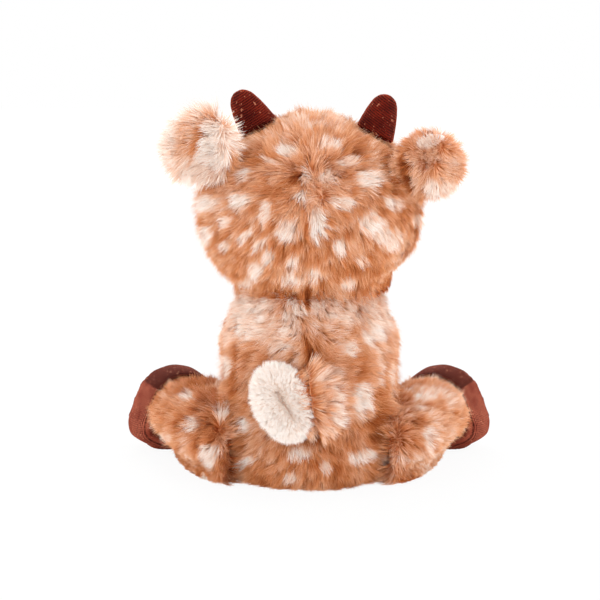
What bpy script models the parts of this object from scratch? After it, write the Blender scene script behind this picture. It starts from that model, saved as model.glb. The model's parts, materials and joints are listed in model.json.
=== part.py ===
"""Plush deer, sitting: fur covers over stuffing, with horns, hooves, ears and a tail.

Metres, +Z up. The deer faces -Y and sits on the floor at Z = 0, with the middle of its flat
seat at the origin. Its own left side is +X. Every stuffed form is a cover, open at its seam,
over a separate filling. The head turns at the neck, the legs swing at their seams, and the
ears and the tail flap at theirs.
"""

import math

import bmesh
import bpy
from mathutils import Matrix, Vector
from mathutils.bvhtree import BVHTree

# Cloth, seams and clearances
FUR_THICKNESS = 0.0050
PLUSH_THICKNESS = 0.0030
VELVET_THICKNESS = 0.0022
SEAM_GAP = 0.0003
SEAT_CUT_DEPTH = 0.0005
WELD_DISTANCE = 0.00001
CUT_OVERRUN = 0.010
MITRE_LIMIT_SHARE = 0.5
OFFSET_SLACK_SHARE = 0.97

# Body
BODY_HALF_WIDTH = 0.0440
BODY_HALF_DEPTH = 0.0420
NECK_HEIGHT = 0.0990
BODY_PROFILE_SHARES = (
    (0.00, 0.00), (0.83, 0.00), (0.92, 0.04), (0.975, 0.115), (1.00, 0.25), (1.00, 0.50),
    (0.985, 0.66), (0.95, 0.80), (0.89, 0.91), (0.81, 1.00), (0.66, 1.08), (0.42, 1.14), (0.00, 1.16),
)
POUCH_RADIUS = 0.0260
POUCH_HEIGHT = 0.0140
POUCH_PROFILE_SHARES = ((0, 0), (0.86, 0), (1, 0.35), (0.9, 0.75), (0.5, 1), (0, 1))

# Head
HEAD_HALF_WIDTH = 0.0578
HEAD_HALF_DEPTH = 0.0530
HEAD_HALF_HEIGHT = 0.0487
HEAD_SINK = 0.0095
HEAD_FORWARD = 0.0060
HEAD_LEAN = math.radians(4.5)
HEAD_SHIFT = 0.0015
HEAD_TOP_SQUARENESS = 2.25
HEAD_LOW_SQUARENESS = 2.0
HEAD_ROWS = 12

# Muzzle, nose and eyes
MUZZLE_HALF_WIDTH = 0.0190
MUZZLE_HALF_HEIGHT = 0.0150
MUZZLE_REACH = 0.0150
MUZZLE_ROOT = 0.0140
MUZZLE_DROP = math.radians(16.0)
MUZZLE_PROFILE_SHARES = (
    (0.00, 0.00), (1.00, 0.00), (1.00, 0.45), (0.95, 0.65), (0.82, 0.82), (0.60, 0.93),
    (0.32, 0.99), (0.00, 1.00),
)
NOSE_HALF_WIDTH = 0.0062
NOSE_HALF_HEIGHT = 0.0045
NOSE_THICKNESS = 0.0042
EYE_RADIUS = 0.0048
EYE_THICKNESS = 0.0040
EYE_SIDE = math.radians(26.0)
EYE_RAISE = math.radians(4.0)
BUTTON_DOME_SHARES = ((1.00, 0.20), (0.86, 0.62), (0.52, 0.92), (0.00, 1.00))
STEM_RADIUS = 0.0012
STEM_LENGTH = 0.0110
WASHER_RADIUS = 0.0050
WASHER_THICKNESS = 0.0012
WASHER_SEAT = 0.0006

# Horns
HORN_LENGTH = 0.0200
HORN_ROOT = 0.0060
HORN_RADIUS = 0.0102
HORN_DEPTH_SHARE = 0.85
HORN_SIDE = {"left": math.radians(37.0), "right": math.radians(33.5)}
HORN_LEAN = {"left": math.radians(31.0), "right": math.radians(19.0)}
HORN_PROFILE_SHARES = (
    (0.00, 0.00), (1.00, 0.00), (0.99, 0.20), (0.88, 0.45), (0.76, 0.66), (0.61, 0.84),
    (0.42, 0.94), (0.20, 0.99), (0.00, 1.00),
)

# Ears
EAR_LENGTH = 0.0335
EAR_HALF_WIDTH = 0.0205
EAR_HALF_THICKNESS = 0.0062
EAR_ROOT_RADIUS = 0.0031
EAR_SIDE = {"left": math.radians(60.5), "right": math.radians(59.0)}
EAR_BACK = math.radians(29.0)
EAR_YAW = {"left": math.radians(30.0), "right": math.radians(45.0)}
EAR_PROFILE_SHARES = (
    (0.00, 0.00), (0.20, 0.015), (0.42, 0.07), (0.70, 0.18), (0.92, 0.34), (1.00, 0.52),
    (0.95, 0.70), (0.76, 0.86), (0.42, 0.97), (0.00, 1.00),
)

# Tail
TAIL_LENGTH = 0.0370
TAIL_HALF_WIDTH = 0.0225
TAIL_HALF_THICKNESS = 0.0125
TAIL_ROOT_RADIUS = 0.0040
TAIL_HEIGHT = 0.0670
TAIL_SHIFT = 0.0035
TAIL_SIDE_LEAN = math.radians(4.0)
TAIL_BACK_LEAN = math.radians(6.0)
TAIL_SPLIT_LEAN = math.radians(9.0)
TAIL_PROFILE_SHARES = (
    (0.00, -0.09), (0.17, -0.06), (0.30, 0.02), (0.62, 0.12), (0.88, 0.27), (1.00, 0.47),
    (0.96, 0.66), (0.76, 0.84), (0.42, 0.96), (0.00, 1.00),
)

# Hind legs
HIND_LEG_HALF_HEIGHT = 0.0220
HIND_LEG_HALF_WIDTH = 0.0250
HIND_LEG_REACH = 0.0568
HIND_LEG_BUTTOCK = 0.0230
HIND_LEG_YAW = math.radians(25.0)
HIP_FLAT_DEPTH = 0.0025
HIP_OUT = 0.0020
HIP_BACK = 0.0110
HIND_HOOF_RADIUS = 0.0225
HIND_HOOF_LENGTH = 0.0235
HIND_LEG_PROFILE_SHARES = (
    (0.00, 0.00), (0.45, 0.02), (0.76, 0.08), (0.94, 0.19), (1.00, 0.32), (1.00, 0.54),
    (0.92, 0.78), (0.81, 1.00),
)

# Front legs
FRONT_LEG_RADIUS = 0.0122
FRONT_LEG_REACH = 0.0710
FRONT_LEG_ROOT_RADIUS = 0.0042
SHOULDER_HEIGHT = 0.0780
SHOULDER_SIDE = math.radians(68.0)
FRONT_LEG_FORWARD_SHARE = 0.50
FRONT_LEG_INWARD_SHARE = 0.36
FRONT_HOOF_RADIUS = 0.0128
FRONT_HOOF_LENGTH = 0.0120
FRONT_LEG_PROFILE_SHARES = (
    (0.00, -0.065), (0.20, -0.045), (0.34, 0.00), (0.66, 0.10), (0.90, 0.22), (1.00, 0.38),
    (0.99, 0.60), (0.94, 0.82), (0.92, 1.00),
)

# Hooves
HOOF_CROWN_SHARE = 0.93
HOOF_SOLE_SHARE = 0.95
HOOF_EDGE_SHARE = 0.86
HOOF_BAND_SHARES = (
    (0.00, 0.00), (HOOF_CROWN_SHARE, 0.00), (1.00, 0.40), (1.00, 0.90), (HOOF_SOLE_SHARE, 1.00),
    (0.00, 1.00),
)

REACH = 10 * BODY_HALF_WIDTH
BODY_FACETS = 24
LIMB_FACETS = 14
TRIM_FACETS = 12
SHARP_ANGLE = math.radians(50.0)
SIDES = {"left": 1, "right": -1}

UP = Vector((0, 0, 1))
FORWARD = Vector((0, -1, 0))


def clear_scene():
    for obj in list(bpy.data.objects):
        bpy.data.objects.remove(obj, do_unlink=True)


def new_collection(name):
    collection = bpy.data.collections.new(name)
    bpy.context.scene.collection.children.link(collection)
    return collection


def material(name, colour, roughness, metallic=0.0):
    made = bpy.data.materials.new(name)
    made.use_nodes = True
    shader = made.node_tree.nodes["Principled BSDF"]
    shader.inputs["Base Color"].default_value = (*colour, 1)
    shader.inputs["Roughness"].default_value = roughness
    shader.inputs["Metallic"].default_value = metallic
    made.diffuse_color = (*colour, 1)
    return made


clear_scene()
PARTS = new_collection("plush_deer")
CUTTERS = new_collection("cutters")

SPOTTED_FUR = ("spotted_fur", (0.58, 0.27, 0.13), 0.95)
CREAM_PLUSH = ("cream_plush", (0.86, 0.74, 0.60), 0.95)
WHITE_PLUSH = ("white_plush", (0.88, 0.82, 0.73), 0.95)
RED_VELVET = ("red_brown_velvet", (0.13, 0.025, 0.017), 0.85)
DARK_PLASTIC = ("dark_plastic", (0.02, 0.012, 0.01), 0.15)
WASHER_PLASTIC = ("washer_plastic", (0.75, 0.75, 0.72), 0.5)
POLYESTER_FILL = ("polyester_fill", (0.9, 0.9, 0.88), 1.0)
BEAD_POUCH = ("bead_pouch", (0.7, 0.68, 0.62), 0.9)


def frame_at(origin, z_axis, x_hint):
    """A placing matrix whose Z runs along z_axis and whose X leans towards x_hint."""
    z = z_axis.normalized()
    x = (x_hint - z * x_hint.dot(z)).normalized()
    y = z.cross(x)
    return Matrix.Translation(origin) @ Matrix((x, y, z)).transposed().to_4x4()


def point_segment_distance(point, start, end):
    run = end - start
    along = max(0.0, min(1.0, (point - start).dot(run) / max(run.length_squared, WELD_DISTANCE ** 2)))
    return (point - start - run * along).length


def offset_profile(profile, depth):
    """Move a profile inwards by depth, or outwards if it is negative, square to its outline."""
    points = [Vector(p) for p in profile]
    if depth == 0:
        return [tuple(p) for p in points]
    ways = [Vector((a.y - b.y, b.x - a.x)).normalized() for a, b in zip(points, points[1:])]
    moved = []
    for point, before, after in zip(points[1:-1], ways, ways[1:]):
        square = (before + after).normalized()
        shifted = point + square * depth / max(square.dot(before), MITRE_LIMIT_SHARE)
        gap = min(point_segment_distance(shifted, a, b) for a, b in zip(points, points[1:]))
        if gap >= abs(depth) * OFFSET_SLACK_SHARE and shifted.x > WELD_DISTANCE:
            moved.append(tuple(shifted))
    low, high = min(h for r, h in moved), max(h for r, h in moved)
    if depth < 0:
        low, high = min(low, points[0].y + depth), max(high, points[-1].y - depth)
    return [(0.0, low), *moved, (0.0, high)]


class Form:
    """A turned, stuffed shape: a profile of (radius, height), with its own width and depth."""

    def __init__(self, profile, facets, place, depth_share=1.0):
        self.profile, self.facets, self.place = profile, facets, place
        self.depth_share = depth_share

    def solid(self, name, inset=0.0):
        """The form as an object, its profile moved in by inset and turned by a Screw modifier."""
        widest = max(r for r, h in self.profile)
        flatten = (widest * self.depth_share - inset) / (widest - inset)
        bm = bmesh.new()
        verts = [bm.verts.new((r, 0, h)) for r, h in reversed(offset_profile(self.profile, inset))]
        for pair in zip(verts, verts[1:]):
            bm.edges.new(pair)
        obj = as_object(name, bm, self.place @ Matrix.Diagonal((1, flatten, 1, 1)))
        turn = obj.modifiers.new("turn", "SCREW")
        turn.steps = turn.render_steps = self.facets
        turn.use_merge_vertices = True
        turn.merge_threshold = WELD_DISTANCE
        return obj

    def surface(self, name):
        """The outer surface as a tree to cast rays at, in world metres."""
        guide = cutter(self.solid(name))
        graph = bpy.context.evaluated_depsgraph_get()
        mesh = bpy.data.meshes.new_from_object(guide.evaluated_get(graph))
        mesh.transform(guide.matrix_basis)
        tree = BVHTree.FromPolygons([v.co for v in mesh.vertices], [p.vertices for p in mesh.polygons])
        bpy.data.meshes.remove(mesh)
        return tree


def as_object(name, bm, place):
    mesh = bpy.data.meshes.new(name)
    bm.to_mesh(mesh)
    bm.free()
    obj = bpy.data.objects.new(name, mesh)
    obj.matrix_basis = place
    return obj


def rod(name, place, radius, low, high, facets, end_radius=None):
    """A round rod along the Z of its place, from low to high, with a facet corner on its X."""
    bm = bmesh.new()
    seat = Matrix.Translation((0, 0, (low + high) / 2)) @ Matrix.Rotation(-math.pi / 2, 4, "Z")
    far_radius = radius if end_radius is None else end_radius
    bmesh.ops.create_cone(bm, cap_ends=True, segments=facets, radius1=radius, radius2=far_radius,
                          depth=high - low, matrix=seat)
    obj = as_object(name, bm, place)
    obj.data.shade_smooth()
    obj.data.set_sharp_from_angle(angle=SHARP_ANGLE)
    return obj


def add(obj, look):
    obj.data.materials.append(bpy.data.materials.get(look[0]) or material(*look))
    PARTS.objects.link(obj)
    return obj


def cutter(obj):
    obj.display_type = "WIRE"
    obj.hide_render = True
    CUTTERS.objects.link(obj)
    return obj


def cut(obj, *tools):
    for tool in tools:
        step = obj.modifiers.new(tool.name, "BOOLEAN")
        step.operation = "DIFFERENCE"
        step.object = tool
        step.solver = "EXACT"
    return obj


def half_space(name, point, keep_way):
    """A big box that cuts away everything behind point, seen along keep_way."""
    bm = bmesh.new()
    bmesh.ops.create_cube(bm, size=REACH, matrix=Matrix.Translation((0, 0, -REACH / 2)))
    hint = Vector((keep_way.z, keep_way.x, keep_way.y))
    return cutter(as_object(name, bm, frame_at(point, keep_way, hint)))


def joint_empty(name, point):
    empty = bpy.data.objects.new("joint_" + name, None)
    empty.location = point
    empty.empty_display_size = SEAM_GAP
    PARTS.objects.link(empty)
    return empty


def ride(empty, *objects):
    for obj in objects:
        obj.parent = empty
        obj.matrix_parent_inverse = Matrix.Translation(-empty.location)


def stuffed(cover_name, filling_name, form, thickness, look, cuts, fill_cuts=None):
    """A cover hollowed to its cloth's thickness, and its filling with a seam gap to it."""
    hollow = cutter(form.solid(cover_name + "_hollow", thickness))
    cover = cut(add(form.solid(cover_name), look), hollow, *cuts)
    filling = add(form.solid(filling_name, thickness + SEAM_GAP), POLYESTER_FILL)
    cut(filling, *(cuts if fill_cuts is None else fill_cuts))
    return cover, filling


def clearance(name, form):
    """The form a seam gap larger all round, to cut what is sewn to it."""
    return cutter(form.solid(name, -SEAM_GAP))


def tell_joint(name, point, way):
    print("joint", name, [round(v, 6) for v in point], [round(v, 6) for v in way])


# Body
body_profile = [(BODY_HALF_WIDTH * r, (NECK_HEIGHT + SEAT_CUT_DEPTH) * h - SEAT_CUT_DEPTH)
                for r, h in BODY_PROFILE_SHARES]
BODY = Form(body_profile, BODY_FACETS, Matrix.Identity(4), BODY_HALF_DEPTH / BODY_HALF_WIDTH)
BODY_SURFACE = BODY.surface("body_guide")

floor_cut = half_space("floor", Vector((0, 0, 0)), UP)
neck_top_cut = half_space("neck_top", Vector((0, 0, NECK_HEIGHT)), -UP)
neck_under_cut = half_space("neck_under", Vector((0, 0, NECK_HEIGHT + SEAM_GAP)), UP)
body_clearance = clearance("body_clearance", BODY)

HIP_PLANE = BODY_HALF_WIDTH - HIP_FLAT_DEPTH
HIP_HEIGHT = HIND_LEG_HALF_HEIGHT - SEAT_CUT_DEPTH
hip_cuts = []
for side, sign in SIDES.items():
    place = frame_at(Vector((sign * HIP_PLANE, HIP_BACK, HIP_HEIGHT)), Vector((sign, 0, 0)), UP)
    pocket = rod("hip_pocket_" + side, place, HIND_LEG_HALF_WIDTH + SEAM_GAP, 0,
                 BODY_HALF_WIDTH, BODY_FACETS)
    hip_cuts.append(cutter(pocket))

body_cover, body_filling = stuffed("body_cover", "body_filling", BODY, FUR_THICKNESS, SPOTTED_FUR,
                                   [floor_cut, neck_top_cut, *hip_cuts], fill_cuts=[neck_top_cut])

pouch_floor = FUR_THICKNESS - SEAT_CUT_DEPTH + SEAM_GAP
pouch_profile = [(POUCH_RADIUS * r, pouch_floor + POUCH_HEIGHT * h)
                 for r, h in POUCH_PROFILE_SHARES]
POUCH = Form(pouch_profile, LIMB_FACETS, Matrix.Identity(4))
bead_pouch = add(POUCH.solid("bead_pouch"), BEAD_POUCH)
pouch_room = clearance("pouch_room", POUCH)
cut(body_filling, pouch_room)

# Head
head_base = Vector((HEAD_SHIFT, 0, NECK_HEIGHT))
head_tilt = Matrix.Translation(head_base) @ Matrix.Rotation(-HEAD_LEAN, 4, "Y")
head_middle = Vector((0, -HEAD_FORWARD, HEAD_HALF_HEIGHT - HEAD_SINK))
HEAD_PLACE = head_tilt @ Matrix.Translation(head_middle)


def head_point(row):
    """A point of the head's outline, rounder below its middle than above it."""
    turn = math.pi * (row / HEAD_ROWS - 1 / 2)
    power = 2 / (HEAD_TOP_SQUARENESS if turn > 0 else HEAD_LOW_SQUARENESS)
    radius = 0.0 if row in (0, HEAD_ROWS) else HEAD_HALF_WIDTH * math.cos(turn) ** power
    return radius, math.copysign(HEAD_HALF_HEIGHT * abs(math.sin(turn)) ** power, turn)


head_profile = [head_point(row) for row in range(HEAD_ROWS + 1)]
HEAD = Form(head_profile, BODY_FACETS, HEAD_PLACE, HEAD_HALF_DEPTH / HEAD_HALF_WIDTH)
HEAD_SURFACE = HEAD.surface("head_guide")
HEAD_CENTRE = HEAD_PLACE.translation
head_clearance = clearance("head_clearance", HEAD)
head_cover, head_filling = stuffed("head_cover", "head_filling", HEAD, FUR_THICKNESS, SPOTTED_FUR,
                                   [neck_under_cut])


def on_head(direction):
    """Where a ray from the middle of the head, in the head's own directions, leaves it."""
    ray = HEAD_PLACE.to_3x3() @ direction.normalized()
    start = HEAD_CENTRE + ray * REACH
    point, normal, _, _ = HEAD_SURFACE.ray_cast(start, -ray)
    return point, normal if normal.dot(ray) > 0 else -normal


def head_way(x, y, z):
    return HEAD_PLACE.to_3x3() @ Vector((x, y, z))


tell_joint("neck", head_base, UP)
neck = joint_empty("neck", head_base)
ride(neck, head_cover, head_filling)

# Muzzle
muzzle_point, _ = on_head(Vector((0, -math.cos(MUZZLE_DROP), -math.sin(MUZZLE_DROP))))
muzzle_way = head_way(0, -math.cos(MUZZLE_DROP), -math.sin(MUZZLE_DROP))
muzzle_length = MUZZLE_ROOT + MUZZLE_REACH
muzzle_profile = [(MUZZLE_HALF_WIDTH * r, -MUZZLE_ROOT + muzzle_length * h)
                  for r, h in MUZZLE_PROFILE_SHARES]
MUZZLE = Form(muzzle_profile, LIMB_FACETS, frame_at(muzzle_point, muzzle_way, head_way(1, 0, 0)),
              MUZZLE_HALF_HEIGHT / MUZZLE_HALF_WIDTH)
muzzle_cover, muzzle_filling = stuffed("muzzle_cover", "muzzle_filling", MUZZLE, PLUSH_THICKNESS,
                                       CREAM_PLUSH, [head_clearance])
ride(neck, muzzle_cover, muzzle_filling)


def button(name, washer_name, point, way, half_width, half_height, thickness, cloth, holed, hollowed):
    """A moulded button on a stem through the cloth, with the washer that holds it behind."""
    place = frame_at(point, way, head_way(1, 0, 0))
    dome = [(0, SEAM_GAP), (half_width, SEAM_GAP)]
    dome += [(half_width * r, SEAM_GAP + thickness * h) for r, h in BUTTON_DOME_SHARES]
    head = add(Form(dome, LIMB_FACETS, place, half_height / half_width).solid(name), DARK_PLASTIC)
    join = head.modifiers.new("stem", "BOOLEAN")
    join.operation = "UNION"
    join.object = cutter(rod(name + "_stem", place, STEM_RADIUS, -STEM_LENGTH, thickness / 2, TRIM_FACETS))
    top = -cloth - SEAM_GAP - WASHER_SEAT
    bottom = top - WASHER_THICKNESS
    washer = add(rod(washer_name, place, WASHER_RADIUS, bottom, top, LIMB_FACETS), WASHER_PLASTIC)
    stem_room = cutter(rod(name + "_stem_room", place, STEM_RADIUS + SEAM_GAP, -STEM_LENGTH - SEAM_GAP,
                           thickness, TRIM_FACETS))
    washer_room = cutter(rod(name + "_washer_room", place, WASHER_RADIUS + SEAM_GAP, bottom - SEAM_GAP,
                             -cloth + SEAM_GAP, LIMB_FACETS))
    cut(washer, stem_room)
    cut(holed, stem_room)
    cut(hollowed, stem_room, washer_room)
    ride(neck, head, washer)


nose_point = MUZZLE.place @ Vector((0, 0, MUZZLE_REACH))
button("nose", "nose_washer", nose_point, muzzle_way, NOSE_HALF_WIDTH, NOSE_HALF_HEIGHT,
       NOSE_THICKNESS, PLUSH_THICKNESS, muzzle_cover, muzzle_filling)

for side, sign in SIDES.items():
    ray = Vector((sign * math.sin(EYE_SIDE), -math.cos(EYE_SIDE), math.tan(EYE_RAISE)))
    eye_point, eye_way = on_head(ray)
    button("eye_" + side, "eye_washer_" + side, eye_point, eye_way, EYE_RADIUS, EYE_RADIUS,
           EYE_THICKNESS, FUR_THICKNESS, head_cover, head_filling)

# Horns
for side, sign in SIDES.items():
    turn = HORN_SIDE[side]
    horn_point, _ = on_head(Vector((sign * math.sin(turn), 0, math.cos(turn))))
    lean = HORN_LEAN[side]
    way = Vector((sign * math.sin(lean), 0, math.cos(lean)))
    whole = HORN_LENGTH + HORN_ROOT
    horn_profile = [(HORN_RADIUS * r, -HORN_ROOT + whole * h) for r, h in HORN_PROFILE_SHARES]
    horn = Form(horn_profile, LIMB_FACETS, frame_at(horn_point, way, Vector((1, 0, 0))), HORN_DEPTH_SHARE)
    ride(neck, *stuffed("horn_cover_" + side, "horn_filling_" + side, horn, VELVET_THICKNESS,
                        RED_VELVET, [head_clearance]))

# Ears
for side, sign in SIDES.items():
    turn = EAR_SIDE[side]
    ear_point, ear_normal = on_head(Vector((sign * math.sin(turn), math.tan(EAR_BACK), math.cos(turn))))
    way = head_way(sign * math.sin(turn), 0, math.cos(turn))
    across = head_way(sign * math.sin(EAR_YAW[side]), math.cos(EAR_YAW[side]), 0)
    across = (across - way * across.dot(way)).normalized()
    root = ear_point + ear_normal * (EAR_ROOT_RADIUS + SEAM_GAP)
    ear_profile = [(EAR_HALF_WIDTH * r, -EAR_ROOT_RADIUS + (EAR_LENGTH + EAR_ROOT_RADIUS) * h)
                   for r, h in EAR_PROFILE_SHARES]
    place = frame_at(root, way, way.cross(across))
    ear = Form(ear_profile, LIMB_FACETS, place, EAR_HALF_THICKNESS / EAR_HALF_WIDTH)
    hinge_way = place.to_3x3() @ Vector((1, 0, 0))
    tell_joint("ear_" + side, root, hinge_way)
    keep_back = half_space("ear_front_half_" + side, root + across * SEAM_GAP / 2, across)
    keep_front = half_space("ear_back_half_" + side, root - across * SEAM_GAP / 2, -across)
    hollow = cutter(ear.solid("ear_hollow_" + side, PLUSH_THICKNESS))
    back = add(ear.solid("ear_back_" + side), SPOTTED_FUR)
    lining = add(ear.solid("ear_lining_" + side), CREAM_PLUSH)
    wadding = add(ear.solid("ear_wadding_" + side, PLUSH_THICKNESS + SEAM_GAP), POLYESTER_FILL)
    cut(back, hollow, keep_back, head_clearance)
    cut(lining, hollow, keep_front, head_clearance)
    cut(wadding, head_clearance)
    hinge = joint_empty("ear_" + side, root)
    ride(hinge, back, lining, wadding)
    ride(neck, hinge)

# Tail
tail_hit, _, _, _ = BODY_SURFACE.ray_cast(Vector((TAIL_SHIFT, REACH, TAIL_HEIGHT)), FORWARD)
tail_root = Vector((TAIL_SHIFT, tail_hit.y + TAIL_ROOT_RADIUS + SEAM_GAP, TAIL_HEIGHT))
tail_way = Vector((math.sin(TAIL_SIDE_LEAN), math.sin(TAIL_BACK_LEAN), -math.cos(TAIL_BACK_LEAN)))
tail_profile = [(TAIL_HALF_WIDTH * r, TAIL_LENGTH * h) for r, h in TAIL_PROFILE_SHARES]
TAIL = Form(tail_profile, LIMB_FACETS, frame_at(tail_root, tail_way, Vector((1, 0, 0))),
            TAIL_HALF_THICKNESS / TAIL_HALF_WIDTH)
split_way = Vector((math.cos(TAIL_SPLIT_LEAN), 0, -math.sin(TAIL_SPLIT_LEAN)))
keep_white = half_space("tail_tan_half", tail_root + split_way * SEAM_GAP / 2, split_way)
keep_tan = half_space("tail_white_half", tail_root - split_way * SEAM_GAP / 2, -split_way)
tail_hollow = cutter(TAIL.solid("tail_hollow", FUR_THICKNESS))
tail_lining = add(TAIL.solid("tail_lining"), WHITE_PLUSH)
tail_outer = add(TAIL.solid("tail_outer"), SPOTTED_FUR)
tail_filling = add(TAIL.solid("tail_filling", FUR_THICKNESS + SEAM_GAP), POLYESTER_FILL)
cut(tail_lining, tail_hollow, keep_white, body_clearance)
cut(tail_outer, tail_hollow, keep_tan, body_clearance)
cut(tail_filling, body_clearance)
ride(joint_empty("tail", tail_root), tail_lining, tail_outer, tail_filling)
tell_joint("tail", tail_root, Vector((1, 0, 0)))


# Legs
def leg(name, side, profile, depth_share, seam, hoof_radius, hoof_length, place, cuts, root):
    """A fur leg with a velvet hoof and sole on its end, over one filling."""
    closed = profile + [(profile[-1][0], seam + CUT_OVERRUN), (0, seam + CUT_OVERRUN)]
    form = Form(closed, LIMB_FACETS, place, depth_share)
    way = place.to_3x3() @ UP
    end_cut = half_space(f"{name}_seam_{side}", place.translation + way * seam, -way)
    hollow = cutter(form.solid(f"{name}_hollow_{side}", FUR_THICKNESS))
    cover = cut(add(form.solid(f"{name}_cover_{side}"), SPOTTED_FUR), hollow, end_cut, *cuts)

    sole_top = seam + hoof_length - VELVET_THICKNESS
    hoof_low, hoof_high = seam + SEAM_GAP, sole_top - SEAM_GAP
    band = [(hoof_radius * r, hoof_low + (hoof_high - hoof_low) * h) for r, h in HOOF_BAND_SHARES]
    room_radius = hoof_radius * HOOF_CROWN_SHARE - VELVET_THICKNESS
    room = cutter(rod(f"{name}_hoof_room_{side}", place, room_radius, seam - CUT_OVERRUN,
                      sole_top + CUT_OVERRUN, LIMB_FACETS))
    hoof = cut(add(Form(band, LIMB_FACETS, place).solid(f"{name}_hoof_{side}"), RED_VELVET), room, *cuts)
    sole = cut(add(rod(f"{name}_sole_{side}", place, hoof_radius * HOOF_SOLE_SHARE, sole_top,
                       seam + hoof_length, LIMB_FACETS, hoof_radius * HOOF_EDGE_SHARE), RED_VELVET), *cuts)

    fill_radius = room_radius - SEAM_GAP
    inner = offset_profile(closed, FUR_THICKNESS + SEAM_GAP)
    inside = [(r, h) for r, h in inner if h < seam]
    neck_radius = min(inside[-1][0], fill_radius)
    inside = [(min(r, neck_radius) if h > seam - hoof_length else r, h) for r, h in inside]
    inside += [(neck_radius, hoof_low), (fill_radius, hoof_low + SEAM_GAP), (fill_radius, hoof_high),
               (0, hoof_high)]
    stuffing = Form(inside, LIMB_FACETS, place).solid(f"{name}_filling_{side}")
    filling = cut(add(stuffing, POLYESTER_FILL), *cuts)
    ride(joint_empty(f"{name}_{side}", root), cover, hoof, sole, filling)
    tell_joint(f"{name}_{side}", root, Vector((-1, 0, 0)))


for side, sign in SIDES.items():
    hip = Vector((sign * (HIP_PLANE + HIP_OUT), HIP_BACK, HIP_HEIGHT))
    way = Vector((sign * math.sin(HIND_LEG_YAW), -math.cos(HIND_LEG_YAW), 0))
    out = Vector((sign, 0, 0))
    hip_side = half_space("hip_side_" + side, out * (HIP_PLANE + SEAM_GAP), out)
    disc = rod("hip_disc_" + side, frame_at(hip, out, UP), HIND_LEG_HALF_WIDTH, -BODY_HALF_WIDTH,
               BODY_HALF_WIDTH, BODY_FACETS)
    body_side = half_space("body_side_" + side, out * (BODY_HALF_WIDTH + SEAM_GAP), out)
    cut(body_side, cutter(disc))
    run = HIND_LEG_REACH + HIND_LEG_BUTTOCK
    profile = [(HIND_LEG_HALF_HEIGHT * r, -HIND_LEG_BUTTOCK + run * h) for r, h in HIND_LEG_PROFILE_SHARES]
    leg("hind_leg", side, profile, HIND_LEG_HALF_WIDTH / HIND_LEG_HALF_HEIGHT, HIND_LEG_REACH,
        HIND_HOOF_RADIUS, HIND_HOOF_LENGTH, frame_at(hip, way, UP),
        [hip_side, body_side, floor_cut], Vector((sign * HIP_PLANE, HIP_BACK, HIP_HEIGHT)))

for side, sign in SIDES.items():
    ray = Vector((sign * math.sin(SHOULDER_SIDE), -math.cos(SHOULDER_SIDE), 0))
    start = ray * REACH + Vector((0, 0, SHOULDER_HEIGHT))
    hit, normal, _, _ = BODY_SURFACE.ray_cast(start, -ray)
    root = hit + ray * (FRONT_LEG_ROOT_RADIUS + SEAM_GAP)
    way = Vector((-sign * FRONT_LEG_INWARD_SHARE, -FRONT_LEG_FORWARD_SHARE, -1)).normalized()
    profile = [(FRONT_LEG_RADIUS * r, FRONT_LEG_REACH * h) for r, h in FRONT_LEG_PROFILE_SHARES]
    leg("front_leg", side, profile, 1.0, FRONT_LEG_REACH, FRONT_HOOF_RADIUS, FRONT_HOOF_LENGTH,
        frame_at(root, way, Vector((1, 0, 0))), [floor_cut, body_clearance], root)
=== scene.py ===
# %% [markdown]
# # A plush fawn that sits
#
# The real toy is sewn from long, spotted fur over stuffing, with velvet horns and hooves.
# Its CAD model gives the size and place of every stuffed form. This lesson dresses that model:
# each form gets a smooth skin, and the skins get real strands of pile, combed, parted and
# coloured as on the toy. Velvet, short plush and moulded plastic get their own finishes.

import json
import math

import bmesh
import bpy
import numpy as np
from mathutils import Matrix, Vector
from mathutils.bvhtree import BVHTree
from mathutils.kdtree import KDTree

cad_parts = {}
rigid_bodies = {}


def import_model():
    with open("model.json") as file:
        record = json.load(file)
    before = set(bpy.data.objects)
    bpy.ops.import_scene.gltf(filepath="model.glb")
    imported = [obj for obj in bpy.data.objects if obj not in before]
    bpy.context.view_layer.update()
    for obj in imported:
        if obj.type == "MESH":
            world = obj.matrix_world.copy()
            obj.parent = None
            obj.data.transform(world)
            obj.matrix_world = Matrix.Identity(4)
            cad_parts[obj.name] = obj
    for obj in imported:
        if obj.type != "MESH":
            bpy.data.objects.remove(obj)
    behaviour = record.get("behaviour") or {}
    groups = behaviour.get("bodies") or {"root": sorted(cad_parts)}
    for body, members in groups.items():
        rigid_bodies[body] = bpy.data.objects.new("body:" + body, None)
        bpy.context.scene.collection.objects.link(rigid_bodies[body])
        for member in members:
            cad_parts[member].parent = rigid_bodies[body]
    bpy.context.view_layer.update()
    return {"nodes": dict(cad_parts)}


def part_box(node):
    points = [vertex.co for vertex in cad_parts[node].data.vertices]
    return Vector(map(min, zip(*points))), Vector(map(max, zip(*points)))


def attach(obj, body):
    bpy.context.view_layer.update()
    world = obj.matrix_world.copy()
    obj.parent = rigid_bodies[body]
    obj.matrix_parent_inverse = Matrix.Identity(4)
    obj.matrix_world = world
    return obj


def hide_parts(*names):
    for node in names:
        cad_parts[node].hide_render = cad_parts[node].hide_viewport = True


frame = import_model()
NODES = frame["nodes"]

# %% [markdown]
# ## The camera and the photograph's frame
#
# The photograph was taken from behind the toy and a little above it, from far enough away that
# its sides look almost parallel. The camera stands there. The same numbers tell where a point
# of the toy lands in the photograph, and so which strand grows from which spot of the coat.

# %% Put things into the scene
MM = 0.001


def show(name, data):
    """Puts a mesh, a lamp or a camera into the scene as an object."""
    shown = bpy.data.objects.new(name, data)
    bpy.context.scene.collection.objects.link(shown)
    return shown


def finish_mesh(name, bm):
    """Makes a bmesh into a piece with smooth shading."""
    mesh = bpy.data.meshes.new(name)
    bm.to_mesh(mesh)
    bm.free()
    mesh.shade_smooth()
    return show(name, mesh)


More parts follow.
